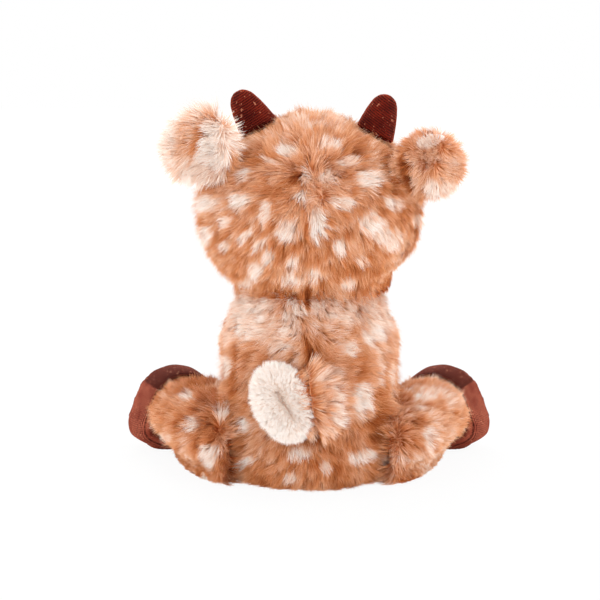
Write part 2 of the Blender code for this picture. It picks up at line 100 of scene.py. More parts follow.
# %% Camera
PHOTO_SIDE = 600
PIXEL_SIZE = 0.52 * MM
CAMERA_AIM = Vector((0.0049, 0.0016, 0.0924))
CAMERA_DISTANCE = 1.2
CAMERA_RISE = math.radians(12.0)
SENSOR_WIDTH = 36.0

camera_back = Vector((0, math.cos(CAMERA_RISE), math.sin(CAMERA_RISE)))
camera_place = CAMERA_AIM + camera_back * CAMERA_DISTANCE
camera_data = bpy.data.cameras.new("camera")
camera_data.sensor_width = SENSOR_WIDTH
camera_data.lens = SENSOR_WIDTH * CAMERA_DISTANCE / (PHOTO_SIDE * PIXEL_SIZE)
camera = show("camera", camera_data)
camera.location = camera_place
camera.rotation_euler = camera_back.to_track_quat("Z", "Y").to_euler()
bpy.context.scene.camera = camera

PICTURE_RIGHT = np.array((-1.0, 0.0, 0.0))
PICTURE_UP = np.array((0.0, -math.sin(CAMERA_RISE), math.cos(CAMERA_RISE)))
TO_CAMERA = np.array(camera_back)


def photo_pixels(points):
    """Where points of the toy land in the photograph, in its pixels."""
    seen = points - np.array(camera_place)
    depth = -(seen @ TO_CAMERA) * PIXEL_SIZE / CAMERA_DISTANCE
    across = PHOTO_SIDE / 2 + (seen @ PICTURE_RIGHT) / depth
    down = PHOTO_SIDE / 2 - (seen @ PICTURE_UP) / depth
    return np.stack((across, down), axis=1)


def photo_place(across, down, y):
    """The point of the toy, at depth y, that lands on a pixel of the photograph."""
    right, up = across - PHOTO_SIDE / 2, PHOTO_SIDE / 2 - down
    ray = (PICTURE_RIGHT * right + PICTURE_UP * up) * PIXEL_SIZE - TO_CAMERA * CAMERA_DISTANCE
    start = np.array(camera_place)
    return start + ray * (y - start[1]) / ray[1]


print("lens", round(camera_data.lens, 1), "mm")

# %% [markdown]
# ## Materials from sums
#
# A material is a tree of nodes, which is slow to read back when it is clicked together. Here a
# small class wraps each number that a node gives out, and Python sums on such values add the
# Math nodes. One method adds every other kind of node.

# %% Shader maths as Python expressions
class Value:
    """A socket that holds a number, for use in sums."""

    def __init__(self, shader, socket):
        self.shader = shader
        self.socket = socket

    def maths(self, operation, *others):
        node = self.shader.node("ShaderNodeMath", {"operation": operation}, self, *others)
        return Value(self.shader, node.outputs[0])

    def __add__(self, other):
        return self.maths("ADD", other)

    def __mul__(self, other):
        return self.maths("MULTIPLY", other)

    def __sub__(self, other):
        return self.maths("SUBTRACT", other)

    def __rsub__(self, other):
        return (self * -1) + other

    __radd__ = __add__
    __rmul__ = __mul__

    def between(self, low, high):
        """0 below low, 1 above high, and smooth between them."""
        settings = {"interpolation_type": "SMOOTHSTEP"}
        node = self.shader.node("ShaderNodeMapRange", settings, self, low, high)
        return Value(self.shader, node.outputs[0])


class Nodes:
    """A node tree, and one way to add nodes to it."""

    def __init__(self, tree):
        self.tree = tree

    def node(self, kind, settings=None, *values, **named):
        """Adds a node: its settings first, then values or links for its sockets."""
        made = self.tree.nodes.new(kind)
        for name, value in (settings or {}).items():
            if name == "stops":
                self.fill_ramp(made.color_ramp, value)
            else:
                setattr(made, name, value)
        for place, value in [*enumerate(values), *named.items()]:
            self.feed(made.inputs[place], value)
        return made

    def fill_ramp(self, ramp, stops):
        while len(ramp.elements) < len(stops):
            ramp.elements.new(0.5)
        for element, (place, colour) in zip(ramp.elements, stops):
            element.position = place
            element.color = colour

    def feed(self, socket, value):
        value = value.socket if isinstance(value, Value) else value
        if isinstance(value, bpy.types.NodeSocket):
            self.tree.links.new(value, socket)
        else:
            socket.default_value = value


class Shader(Nodes):
    """A new material, with its constants on its surface's own sockets."""

    def __init__(self, name, **constants):
        self.material = bpy.data.materials.new(name)
        self.material.use_nodes = True
        super().__init__(self.material.node_tree)
        self.surface = self.tree.nodes["Principled BSDF"]
        for socket, value in constants.items():
            self.surface.inputs[socket.replace("_", " ")].default_value = value

    def noise(self, scale, detail=2.0):
        node = self.node("ShaderNodeTexNoise", {}, Scale=scale, Detail=detail)
        self.feed(node.inputs["Vector"], self.node("ShaderNodeTexCoord").outputs["Object"])
        return Value(self, node.outputs["Fac"])

    def attribute(self, name):
        """A number that the mesh carries at each of its points."""
        node = self.node("ShaderNodeAttribute", {"attribute_name": name})
        return Value(self, node.outputs["Fac"])

    def mix(self, factor, first, second, blend="MIX"):
        node = self.node("ShaderNodeMix", {"data_type": "RGBA", "blend_type": blend})
        self.feed(node.inputs["Factor"], factor)
        self.feed(node.inputs[6], first)
        self.feed(node.inputs[7], second)
        return node.outputs[2]

    def colour(self, value):
        self.feed(self.surface.inputs["Base Color"], value)

    def bump(self, height, strength, distance):
        node = self.node("ShaderNodeBump", {}, Strength=strength, Distance=distance, Height=height)
        self.feed(self.surface.inputs["Normal"], node.outputs["Normal"])


def screen(red, green, blue):
    """A colour as a screen shows it, from 0 to 255, as the linear colour a shader needs."""
    shares = [value / 255 for value in (red, green, blue)]
    return (*[s / 12.92 if s < 0.04045 else ((s + 0.055) / 1.055) ** 2.4 for s in shares], 1.0)


# %% [markdown]
# ## Light and floor
#
# The toy stands on pure white, in soft light from all round. A pale world gives that light, and
# big soft lamps on every side give it a little direction. What the camera sees of the floor and
# the world is made white, so the background is white without more light on the fur.

# %% World and floor
WHITE = (1.0, 1.0, 1.0, 1.0)
WORLD_STRENGTH = 0.80
FLOOR_SIDE = 3.0
FLOOR_SHOWN_WHITE = 0.93

world = bpy.data.worlds.new("studio")
bpy.context.scene.world = world
world.use_nodes = True
studio = Nodes(world.node_tree)
lamp_sky = studio.tree.nodes["Background"]
studio.feed(lamp_sky.inputs["Color"], WHITE)
studio.feed(lamp_sky.inputs["Strength"], WORLD_STRENGTH)
shown_sky = studio.node("ShaderNodeBackground", {}, WHITE, 1.0)
rays = studio.node("ShaderNodeLightPath").outputs
seen = Value(studio, rays["Is Camera Ray"]).maths("MAXIMUM", rays["Is Glossy Ray"])
sky = studio.node("ShaderNodeMixShader", {}, seen, lamp_sky.outputs[0], shown_sky.outputs[0])
studio.feed(studio.tree.nodes["World Output"].inputs["Surface"], sky.outputs[0])

floor_paint = Shader("white_floor", Base_Color=(0.92, 0.92, 0.92, 1), Roughness=0.9)
floor_glow = floor_paint.node("ShaderNodeEmission", {}, WHITE, 1.0)
floor_ray = Value(floor_paint, floor_paint.node("ShaderNodeLightPath").outputs["Is Camera Ray"])
floor_mix = floor_paint.node("ShaderNodeMixShader", {}, floor_ray * FLOOR_SHOWN_WHITE,
                             floor_paint.surface.outputs[0], floor_glow.outputs[0])
floor_paint.feed(floor_paint.tree.nodes["Material Output"].inputs["Surface"], floor_mix.outputs[0])

floor_shape = bmesh.new()
bmesh.ops.create_grid(floor_shape, x_segments=1, y_segments=1, size=FLOOR_SIDE / 2)
floor = finish_mesh("floor", floor_shape)
floor.data.materials.append(floor_paint.material)
print("floor", FLOOR_SIDE, "m wide")

# %% Lamps, each with its place, its width in metres and its power in watts
LAMPS = {
    "key_lamp": ((-0.9, 1.0, 1.0), 0.9, 6.9),
    "fill_lamp": ((1.1, 0.9, 0.6), 0.9, 4.0),
    "low_lamp": ((-0.1, 1.5, 0.30), 1.0, 7.4),
    "front_lamp": ((0.4, -1.2, 0.9), 0.9, 8.0),
    "low_front_lamp": ((-0.2, -1.5, 0.25), 1.0, 7.0),
    "left_lamp": ((1.5, -0.45, 0.45), 1.0, 7.0),
    "right_lamp": ((-1.5, -0.45, 0.45), 1.0, 7.0),
}
for name, (place, width, power) in LAMPS.items():
    lamp_data = bpy.data.lights.new(name, "AREA")
    lamp_data.size = width
    lamp_data.energy = power
    lamp = show(name, lamp_data)
    lamp.location = place
    lamp.rotation_euler = (Vector(place) - CAMERA_AIM).to_track_quat("Z", "Y").to_euler()

bpy.context.scene.view_settings.view_transform = "Standard"
print(len(LAMPS), "lamps")

# %% [markdown]
# ## A skin for each stuffed form
#
# Under the pile lies the cloth that it is knitted into. The CAD covers say where it goes. Their
# outer shape is wrapped in a hull, remeshed to even faces and smoothed, so that every form
# swells like a stuffed bag. A voxel remesh suits this better than modelling each form again,
# because the skin then stays where the CAD cover is.

# %% Wrap CAD nodes in a smooth skin
FLAT_FACING = 0.6
DOUBLES = 0.01 * MM


def apply_modifiers(piece):
    """Gives the piece the mesh that its modifiers make, and takes them off."""
    graph = bpy.context.evaluated_depsgraph_get()
    made = bpy.data.meshes.new_from_object(piece.evaluated_get(graph))
    old = piece.data
    piece.modifiers.clear()
    piece.data = made
    bpy.data.meshes.remove(old)
    made.name = piece.name


def smooth_by(piece, rounds, inset, flats, reach):
    """Relaxes the mesh and moves its skin inwards, but not where it is cut flat at a seam."""
    bm = bmesh.new()
    bm.from_mesh(piece.data)
    for _ in range(rounds):
        bmesh.ops.smooth_vert(bm, verts=bm.verts, factor=0.5, use_axis_x=True, use_axis_y=True,
                              use_axis_z=True)
    bm.normal_update()
    for vert in bm.verts:
        vert.co -= vert.normal * inset
        for point, way in flats:
            way = Vector(way)
            depth = (Vector(point) - vert.co).dot(way)
            if depth < reach and vert.normal.dot(way) > FLAT_FACING:
                vert.co += way * depth
    bm.to_mesh(piece.data)
    bm.free()
    piece.data.shade_smooth()


def wrap(name, nodes, voxel, rounds, inset=0.0, flats=()):
    """One smooth closed mesh round some CAD nodes, which it doesn't touch."""
    bm = bmesh.new()
    for node in nodes:
        for vert in NODES[node].data.vertices:
            bm.verts.new(vert.co)
    bmesh.ops.remove_doubles(bm, verts=bm.verts, dist=DOUBLES)
    bmesh.ops.convex_hull(bm, input=bm.verts)
    bmesh.ops.delete(bm, geom=[v for v in bm.verts if not v.link_faces], context="VERTS")
    bmesh.ops.recalc_face_normals(bm, faces=bm.faces)
    piece = finish_mesh(name, bm)
    remesh = piece.modifiers.new("even_faces", "REMESH")
    remesh.mode = "VOXEL"
    remesh.voxel_size = voxel
    apply_modifiers(piece)
    smooth_by(piece, rounds, inset, flats, inset + 2 * voxel)
    return piece


def dress(piece, body, slot, look, *nodes):
    """Gives a piece its finish, its body and the CAD nodes that it stands for."""
    piece.data.materials.clear()
    piece.data.materials.append(look.material)
    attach(piece, body)
    if nodes:
        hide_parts(*nodes)
    return piece


# %% [markdown]
# ## One strand of pile, and many
#
# Long pile is thousands of fine fibres. Each is a narrow blade that tapers to a point. One blade
# is modelled here, and every strand of the coat is a bent copy of it. Neighbours lean together
# into locks, as brushed acrylic does. A strand's colour comes from a map: across it runs the
# tone of the coat, and up it painted shade near the root and painted light near the tip.

# %% The one blade
BLADE_STEPS = 2
BLADE_SWELL_SHARES = (1.0, 0.85, 0.0)

blade = bmesh.new()
bmesh.ops.create_grid(blade, x_segments=1, y_segments=BLADE_STEPS, size=0.5)
tip_verts = [v for v in blade.verts if v.co.y > 0.49]
bmesh.ops.pointmerge(blade, verts=tip_verts, merge_co=(0, 0.5, 0))
bmesh.ops.triangulate(blade, faces=blade.faces)
blade.verts.index_update()
BLADE_SIDE = np.array([2 * v.co.x for v in blade.verts])
BLADE_ROW = np.array([round((v.co.y + 0.5) * BLADE_STEPS) for v in blade.verts])
BLADE_FACES = np.array([[v.index for v in face.verts] for face in blade.faces])
blade.free()
print("a strand has", len(BLADE_FACES), "faces")


# %% Number helpers
def lengths(vectors):
    return np.linalg.norm(vectors, axis=1)


def unit(vectors):
    return vectors / np.maximum(np.linalg.norm(vectors, axis=-1, keepdims=True), 1e-9)


def smooth_step(low, high, values):
    share = np.clip((values - low) / (high - low), 0, 1)
    return share * share * (3 - 2 * share)


def drift(points, size, seed):
    """A smooth random number for each point, near -1 to 1, that changes over about size."""
    random = np.random.default_rng(seed)
    total = np.zeros(len(points))
    waves = 7
    for _ in range(waves):
        way = unit(random.normal(size=3)) * math.tau / size * random.uniform(0.6, 1.4)
        total += np.sin(points @ way + random.uniform(0, math.tau))
    return total / math.sqrt(waves)


def swirl(points, size, seed):
    """A smooth random direction for each point, which keeps a comb from being too regular."""
    return np.stack([drift(points, size, seed + axis) for axis in range(3)], axis=1)


def anywhere(roots, normals):
    return np.ones(len(roots), dtype=bool)


def turned(vectors, axes, angles):
    """Vectors that are square to their axes, turned round them."""
    return vectors * np.cos(angles)[:, None] + np.cross(axes, vectors) * np.sin(angles)[:, None]


# %% Roots spread over a skin
def threes(items, label, kind=float):
    """Three numbers of each item of a mesh, as rows of an array."""
    rows = np.empty(len(items) * 3, dtype=kind)
    items.foreach_get(label, rows)
    return rows.reshape(-1, 3)


def places_of(piece):
    return threes(piece.data.vertices, "co")


def centre_of(node):
    return places_of(NODES[node]).mean(axis=0)


def surface_arrays(skin):
    """Places and normals of a skin's vertices, and the corners of its triangles."""
    skin.data.calc_loop_triangles()
    return (places_of(skin), threes(skin.data.vertices, "normal"),
            threes(skin.data.loop_triangles, "vertices", int))


def spread_roots(skin, per_square_mm, random):
    """Random points on a skin, evenly by area, with the skin's smooth normals."""
    places, normals, corners = surface_arrays(skin)
    a, b, c = (places[corners[:, i]] for i in range(3))
    areas = lengths(np.cross(b - a, c - a)) / 2
    count = int(areas.sum() / MM ** 2 * per_square_mm)
    face = np.searchsorted(np.cumsum(areas) / areas.sum(), random.random(count))
    face = np.minimum(face, len(corners) - 1)
    u, v = random.random(count), random.random(count)
    flip = u + v > 1
    u[flip], v[flip] = 1 - u[flip], 1 - v[flip]
    weights = np.stack((1 - u - v, u, v), axis=1)[:, :, None]
    return ((places[corners[face]] * weights).sum(axis=1),
            unit((normals[corners[face]] * weights).sum(axis=1)))


def locks_of(points, per_lock, random):
    """Which lock each point belongs to, and each point's offset from the lock's middle."""
    count = max(1, len(points) // per_lock)
    middles = points[random.choice(len(points), count, replace=False)]
    tree = KDTree(count)
    for place, middle in enumerate(middles):
        tree.insert(middle, place)
    tree.balance()
    lock = np.array([tree.find(point)[1] for point in points])
    return lock, points - middles[lock]


# %% How pile grows
class Coat:
    """How the pile of one form grows, in strands per square mm, mm and degrees.

    lean is a strand's angle from upright at its root and its tip. per_lock strands share a lock,
    and pull draws their tips together. Both strands and locks stray, and locks differ in tone.
    """

    def __init__(self, density=5.8, length=11.0, lean=(31, 74), width=0.29, per_lock=32, pull=0.42,
                 stray=11.0, lock_turn=14.0, lock_tone=0.065):
        self.density = density
        self.length = length * MM
        self.lean = [math.radians(angle) for angle in lean]
        self.width = width * MM
        self.per_lock = per_lock
        self.pull = pull
        self.stray = math.radians(stray)
        self.lock_turn = math.radians(lock_turn)
        self.lock_tone = lock_tone


# %% Grow the strands
FLOOR_CLEARANCE = 0.3 * MM
TURN_DRIFT, TURN_DRIFT_SIZE = 0.34, 20 * MM
TILT_DRIFT, TILT_DRIFT_SIZE = 0.11, 10 * MM
LOCK_TILT, STRAND_TILT = 0.11, 0.13
LOCK_SWING = 0.15
LOCK_LENGTHS, STRAND_LENGTHS = (0.82, 1.1), (0.72, 1.12)
STRAND_WIDTHS = (0.75, 1.2)
STRAND_TWIST = 0.25
STRAND_TONE = 0.05
PULL_POWER = 1.4


def grow(skin, coat, comb, tone, keep, seed, trim=None, laid=None):
    """Strands on a skin: comb gives their way, tone their colour, keep where they grow.

    trim gives a share of their length, and laid how far they are laid over: 0 is upright.
    """
    random = np.random.default_rng(seed)
    roots, normals = spread_roots(skin, coat.density, random)
    kept = keep(roots, normals)
    roots, normals = roots[kept], normals[kept]
    lock, offset = locks_of(roots, coat.per_lock, random)
    locks = lock.max() + 1

    def strays(lock_spread, strand_spread):
        """Random numbers near 0, which the strands of a lock share in part."""
        shared = random.normal(0, lock_spread, locks)[lock]
        return shared + random.normal(0, strand_spread, len(roots))

    ways = comb(roots, normals)
    ways = unit(ways - normals * (ways * normals).sum(axis=1, keepdims=True))
    turn = strays(coat.lock_turn, coat.stray)
    turn = turn + TURN_DRIFT * drift(roots, TURN_DRIFT_SIZE, seed + 500)
    ways = turned(ways, normals, turn)
    tilt = strays(LOCK_TILT, STRAND_TILT)
    tilt = tilt + TILT_DRIFT * drift(roots, TILT_DRIFT_SIZE, seed + 501)
    swing = (coat.lean[1] - coat.lean[0]) * (1 + random.normal(0, LOCK_SWING, locks)[lock])
    laid_share = laid(roots, normals) if laid else np.ones(len(roots))
    first = ((coat.lean[0] + tilt) * laid_share)[:, None]
    swing = (swing * np.maximum(laid_share, 0.1))[:, None]
    length = coat.length * random.uniform(*LOCK_LENGTHS, locks)[lock]
    length = length * random.uniform(*STRAND_LENGTHS, len(roots))
    if trim:
        length = length * trim(roots, normals)

    steps = np.linspace(0, 1, BLADE_STEPS + 1)[None, :]
    angle = first + swing * steps
    rise = (np.sin(angle) - np.sin(first)) / swing
    reach = (np.cos(first) - np.cos(angle)) / swing
    line = roots[:, None, :] + length[:, None, None] * (
        normals[:, None, :] * rise[:, :, None] + ways[:, None, :] * reach[:, :, None])
    line -= offset[:, None, :] * (coat.pull * steps ** PULL_POWER)[:, :, None]
    line[:, :, 2] = np.maximum(line[:, :, 2], FLOOR_CLEARANCE)

    across = np.cross(ways, normals)
    across = turned(across, ways, random.normal(0, STRAND_TWIST, len(roots)))
    swell = np.array(BLADE_SWELL_SHARES)[BLADE_ROW] * BLADE_SIDE * coat.width / 2
    thick = random.uniform(*STRAND_WIDTHS, len(roots))[:, None]
    corners = line[:, BLADE_ROW, :] + across[:, None, :] * (swell[None, :] * thick)[:, :, None]

    shown = (line[:, 1, :] + line[:, 2, :]) / 2
    tones = tone(shown, normals, roots) + strays(coat.lock_tone, STRAND_TONE)
    return corners, np.clip(tones, 0, 1)


# %% Make meshes of the strands
MAP_STRAND_HALF_WIDTH = 0.003
MAP_EDGE = 0.03
MOST_FACES = 195_000


def pile_piece(name, corners, tones, look, body, slot):
    """One mesh of strands, with each strand's place on the colour map."""
    count, per_strand = corners.shape[:2]
    faces = (BLADE_FACES[None] + (np.arange(count) * per_strand)[:, None, None]).reshape(-1)
    mesh = bpy.data.meshes.new(name)
    mesh.vertices.add(count * per_strand)
    mesh.vertices.foreach_set("co", corners.reshape(-1).astype(np.float32))
    mesh.loops.add(len(faces))
    mesh.loops.foreach_set("vertex_index", faces.astype(np.int32))
    triangles = len(faces) // 3
    mesh.polygons.add(triangles)
    mesh.polygons.foreach_set("loop_start", np.arange(triangles, dtype=np.int32) * 3)
    mesh.polygons.foreach_set("loop_total", np.full(triangles, 3, dtype=np.int32))
    mesh.update(calc_edges=True)
    loop_corner = np.tile(BLADE_FACES.reshape(-1), count)
    loop_tone = np.repeat(tones, BLADE_FACES.size)
    map_width = 1 - 2 * MAP_EDGE
    across = MAP_EDGE + map_width * loop_tone + MAP_STRAND_HALF_WIDTH * BLADE_SIDE[loop_corner]
    up = MAP_EDGE + map_width * BLADE_ROW[loop_corner] / BLADE_STEPS
    layer = mesh.uv_layers.new(name="OFBake")
    layer.uv.foreach_set("vector", np.stack((across, up), axis=1).reshape(-1).astype(np.float32))
    mesh.shade_flat()
    return dress(show(name, mesh), body, slot, look)


def lay_pile(name, grown, look, body, slot, sides=None):
    """Makes the strands into pieces that stay under the most faces that one may have."""
    corners, tones = grown
    roots = corners[:, 0, :]
    groups = {name: np.ones(len(roots), dtype=bool)}
    for label, where in (sides or {}).items():
        groups[f"{name}_{label}"] = where(roots)
        groups.pop(name, None)
    for group, chosen in groups.items():
        parts = math.ceil(chosen.sum() * len(BLADE_FACES) / MOST_FACES)
        places = np.flatnonzero(chosen)
        for part in range(parts):
            some = places[part::parts]
            label = group if parts == 1 else f"{group}_{part + 1}"
            pile_piece(label, corners[some], tones[some], look, body, slot)
    print(name, len(roots), "strands")


# %% [markdown]
# ## The colours of the coat
#
# The fur runs from brown through tan to peach, with spots of cream. One palette holds them all
# in a row, and each strand points at its own place there. Each strand is painted darker at the
# root and paler at the tip: painted shade deep in the pile where locks part, and painted light
# on the tips.

# %% Fur, from root to tip
COAT_STOPS = (
    (0.00, screen(128, 56, 24)), (0.20, screen(186, 102, 52)), (0.42, screen(218, 145, 95)),
    (0.62, screen(238, 184, 146)), (0.82, screen(248, 224, 207)), (1.00, screen(253, 246, 240)),
)
ROOT_SHADE_STOPS = ((0.00, (0.78, 0.52, 0.36, 1)), (0.40, (0.95, 0.84, 0.74, 1)), (0.75, WHITE),
              (1.00, WHITE))
PALE_ROOT_SHADE_STOPS = ((0.00, (0.94, 0.90, 0.86, 1)), (0.40, (0.98, 0.97, 0.96, 1)), (0.80, WHITE),
                   (1.00, WHITE))
SHADE_AND_LIGHT_LIFT = 0.28
LIFT_MIDDLE = 0.62
PALE_ROOT_SHADE_EASING = 0.6


def pile_look(name, root_shade_stops):
    """The tone of a strand says its place in the palette, and its height its painted shade near
    the root and painted light near the tip.
    """
    shader = Shader(name, Roughness=0.8, Sheen_Weight=0.08, Sheen_Roughness=0.4,
                    Sheen_Tint=screen(255, 214, 186), Specular_IOR_Level=0.1)
    place = shader.node("ShaderNodeUVMap", {"uv_map": "OFBake"}).outputs[0]
    split = shader.node("ShaderNodeSeparateXYZ", {}, place)
    tone, height = ((Value(shader, split.outputs[axis]) - MAP_EDGE) * (1 / (1 - 2 * MAP_EDGE))
                    for axis in "XY")
    # Painted shade low on each strand and painted light near its tip: the height shifts the tone,
    # and the root stops darken the root further, less on pale strands.
    shaded_and_lit_tone = tone + (height - LIFT_MIDDLE) * SHADE_AND_LIGHT_LIFT
    coat = shader.node("ShaderNodeValToRGB", {"stops": COAT_STOPS}, shaded_and_lit_tone)
    root = shader.node("ShaderNodeValToRGB", {"stops": root_shade_stops}, height)
    root_shade_share = 1 - tone.between(0.5, 0.9) * PALE_ROOT_SHADE_EASING
    shader.colour(shader.mix(root_shade_share, coat.outputs[0], root.outputs[0], "MULTIPLY"))
    return shader


FUR = pile_look("spotted_fur_pile", ROOT_SHADE_STOPS)
SHORT_PLUSH = pile_look("short_plush_pile", PALE_ROOT_SHADE_STOPS)
print(len(COAT_STOPS), "colours in the palette")

# %% Knitted ground under the pile
ground = Shader("fur_ground", Roughness=0.95)
ground_tone = ground.attribute("coat_tone")
dyed = ground.node("ShaderNodeValToRGB", {"stops": COAT_STOPS}, ground_tone).outputs[0]
# Painted shade: the ground lies deep between the strands, so it is darkened below the coat's own
# tone, less under pale spots, with noise for the knit's loops breaking up that shade.
loops = ground.mix(ground.noise(700.0), (0.62, 0.44, 0.32, 1), (0.95, 0.78, 0.64, 1))
ground.colour(ground.mix(1 - ground_tone.between(0.6, 0.9) * 0.8, dyed, loops, "MULTIPLY"))
ground.bump(ground.noise(900.0), 0.4, 0.5 * MM)

pale_ground = Shader("plush_ground", Roughness=0.95)
pale_ground.colour(pale_ground.mix(pale_ground.noise(80.0), screen(232, 218, 204),
                                   screen(246, 238, 230)))
pale_ground.bump(pale_ground.noise(1200.0), 0.4, 0.4 * MM)


def lay_coat(name, skin, coat, comb, tone, seed, body, keep=anywhere, trim=None, laid=None,
             sides=None):
    """Covers a skin with fur, and dyes the ground as the strands that grow from it."""
    places, normals, _ = surface_arrays(skin)
    dye = skin.data.attributes.new("coat_tone", "FLOAT", "POINT")
    dye.data.foreach_set("value", np.clip(tone(places, normals, places), 0, 1))
    grown = grow(skin, coat, comb, tone, keep, seed, trim, laid)
    lay_pile(name, grown, FUR, body, "spotted_fur", sides)


# %% [markdown]
# ## Spots
#
# The spots that the photograph shows are tables of places in it: across, down, width, height,
# turn in degrees, and tone. Tones run from 0, the darkest brown, to 1, the palest cream. Spots
# on the sides that it doesn't show are scattered by seeded chance, never too close together.

# %% Spots, by their places in the photograph
# In HEAD_SPOTS the dark strip at (398, 172) is painted shade where the right ear meets the head.
HEAD_SPOTS = (
    (314, 119, 86, 18, 0, 0.62), (316, 178, 62, 40, 0, 0.55), (268, 174, 30, 22, 0, 0.54),
    (286, 150, 22, 11, 0, 0.86), (330, 143, 24, 10, 10, 0.84), (266, 159, 20, 6, 30, 0.72),
    (241, 175, 17, 13, -40, 0.84), (239, 202, 19, 17, 0, 0.90), (265, 214, 10, 26, 10, 0.82),
    (204, 204, 22, 15, 0, 0.86), (224, 222, 13, 11, 0, 0.80), (287, 233, 20, 21, 0, 0.86),
    (319, 226, 19, 34, 0, 0.92), (300, 197, 13, 11, 0, 0.82), (306, 173, 10, 18, 0, 0.82),
    (328, 178, 20, 14, 0, 0.80), (294, 178, 9, 14, 20, 0.22),
    (349, 161, 23, 12, 0, 0.84), (370, 179, 25, 18, 0, 0.90), (345, 204, 19, 13, 0, 0.84),
    (394, 204, 18, 14, 0, 0.84), (372, 225, 25, 20, 0, 0.88), (391, 240, 26, 20, 0, 0.80),
    (243, 238, 19, 9, -35, 0.82), (259, 246, 19, 9, -35, 0.80), (204, 236, 16, 17, 0, 0.86),
    (224, 247, 12, 10, 0, 0.80), (268, 258, 12, 14, 0, 0.80), (292, 264, 14, 13, 0, 0.86),
    (255, 271, 14, 18, 0, 0.82), (246, 284, 14, 10, 0, 0.76), (290, 282, 16, 11, 0, 0.78),
    (314, 276, 13, 14, 0, 0.76), (349, 284, 17, 12, 0, 0.78), (340, 249, 15, 13, 0, 0.80),
    (419, 222, 14, 14, 0, 0.80), (363, 262, 14, 12, 0, 0.72),
    (306, 234, 4, 26, 0, 0.22), (308, 293, 7, 17, 0, 0.05), (398, 172, 12, 34, -20, 0.16),
)
# In BODY_SPOTS the narrow dark spots at (309, 354) and (233, 372) are painted shade: in the furrow
# above the tail, and along the line where the left thigh meets the body.
BODY_SPOTS = (
    (242, 311, 38, 24, 0, 0.88), (263, 306, 22, 14, 0, 0.80), (234, 335, 18, 12, 0, 0.66),
    (259, 335, 14, 12, 0, 0.70), (284, 347, 15, 10, 0, 0.84), (225, 367, 13, 20, 0, 0.84),
    (351, 349, 13, 15, 0, 0.84), (373, 337, 19, 18, 0, 0.88), (381, 374, 6, 20, 0, 0.74),
    (392, 373, 6, 20, 0, 0.74), (363, 401, 20, 35, 0, 0.90), (335, 370, 12, 12, 0, 0.66),
    (336, 413, 12, 12, 0, 0.66), (242, 426, 15, 17, 0, 0.86), (243, 464, 22, 9, -30, 0.86),
    (297, 455, 23, 12, 0, 0.86), (364, 457, 30, 12, -15, 0.86), (326, 468, 11, 12, 0, 0.84),
    (290, 479, 16, 9, 0, 0.82), (388, 462, 14, 12, 0, 0.74), (352, 310, 92, 28, 6, 0.76),
    (240, 318, 48, 44, 0, 0.80), (222, 330, 22, 30, 0, 0.70),
    (308, 300, 7, 22, 0, 0.05), (309, 354, 9, 22, 0, 0.10), (312, 441, 18, 8, 0, 0.12),
    (233, 372, 6, 56, 6, 0.18),
)
LEG_SPOTS = (
    (186, 395, 12, 11, 0, 0.84), (189, 424, 15, 17, 0, 0.86), (221, 409, 17, 19, 0, 0.86),
    (209, 456, 20, 23, 0, 0.88), (425, 395, 19, 12, 0, 0.84), (431, 438, 15, 25, 0, 0.88),
    (165, 438, 13, 12, 0, 0.66),
)
TAIL_SPOTS = (
    (322, 396, 26, 50, 0, 0.58), (330, 374, 30, 14, 0, 0.74), (341, 396, 12, 30, 0, 0.80),
    (342, 418, 12, 22, 0, 0.82), (326, 434, 26, 10, 0, 0.66),
)
print(len(HEAD_SPOTS) + len(BODY_SPOTS) + len(LEG_SPOTS) + len(TAIL_SPOTS), "spots")

# %% Paint the spots
SPOT_EDGE, SPOT_RAGGED, SPOT_RAGGED_SIZE = (1.4, 0.7), 0.16, 9.0
HIDDEN_SPOT_EDGE, HIDDEN_SPOT_RAGGED = (1.2, 0.8), 0.18
HIDDEN_SPOT_TONE = 0.84
HIDDEN_SPOT_SPACING_AND_SIZE = {"head": (0.0135, 0.0042), "body": (0.0140, 0.0044),
                                "leg": (0.0130, 0.0042)}
HIDDEN_FACING = -0.12
SPOT_TRIES = 0.05
SPOT_SIZES = (0.7, 1.25)


def laid_over(tone, share, other):
    """A tone with another one laid over it, where share is 1."""
    return tone * (1 - share) + other * share


def facing_photo(normals):
    return smooth_step(-0.02, 0.22, normals @ TO_CAMERA)


def paint(shown, normals, table, tone, seed):
    """Lays a table's spots over a tone, on what faces the camera."""
    pixels = photo_pixels(shown)
    facing = facing_photo(normals)
    ragged = drift(np.column_stack((pixels, pixels[:, :1] * 0)), SPOT_RAGGED_SIZE, seed)
    ragged = ragged * SPOT_RAGGED
    for x, y, width, height, turn, spot_tone in table:
        angle = math.radians(turn)
        right, down = pixels[:, 0] - x, pixels[:, 1] - y
        along = (right * math.cos(angle) + down * math.sin(angle)) * 2 / width
        beside = (down * math.cos(angle) - right * math.sin(angle)) * 2 / height
        inside = smooth_step(*SPOT_EDGE, np.hypot(along, beside) + ragged) * facing
        tone = laid_over(tone, inside, spot_tone)
    return tone


def scattered_spots(skin, form, seed):
    """Middles and sizes of spots where the photograph doesn't look."""
    random = np.random.default_rng(seed)
    spacing, size = HIDDEN_SPOT_SPACING_AND_SIZE[form]
    spots = []
    for root, normal in zip(*spread_roots(skin, SPOT_TRIES, random)):
        if normal @ TO_CAMERA > HIDDEN_FACING:
            continue
        if all(np.linalg.norm(root - other) > spacing for other, _ in spots):
            spots.append((root, size * random.uniform(*SPOT_SIZES)))
    return spots


def paint_scattered(points, spots, tone, seed):
    ragged = drift(points, 5 * MM, seed) * HIDDEN_SPOT_RAGGED
    for middle, size in spots:
        gaps = lengths(points - middle)
        tone = laid_over(tone, smooth_step(*HIDDEN_SPOT_EDGE, gaps / size + ragged),
                         HIDDEN_SPOT_TONE)
    return tone


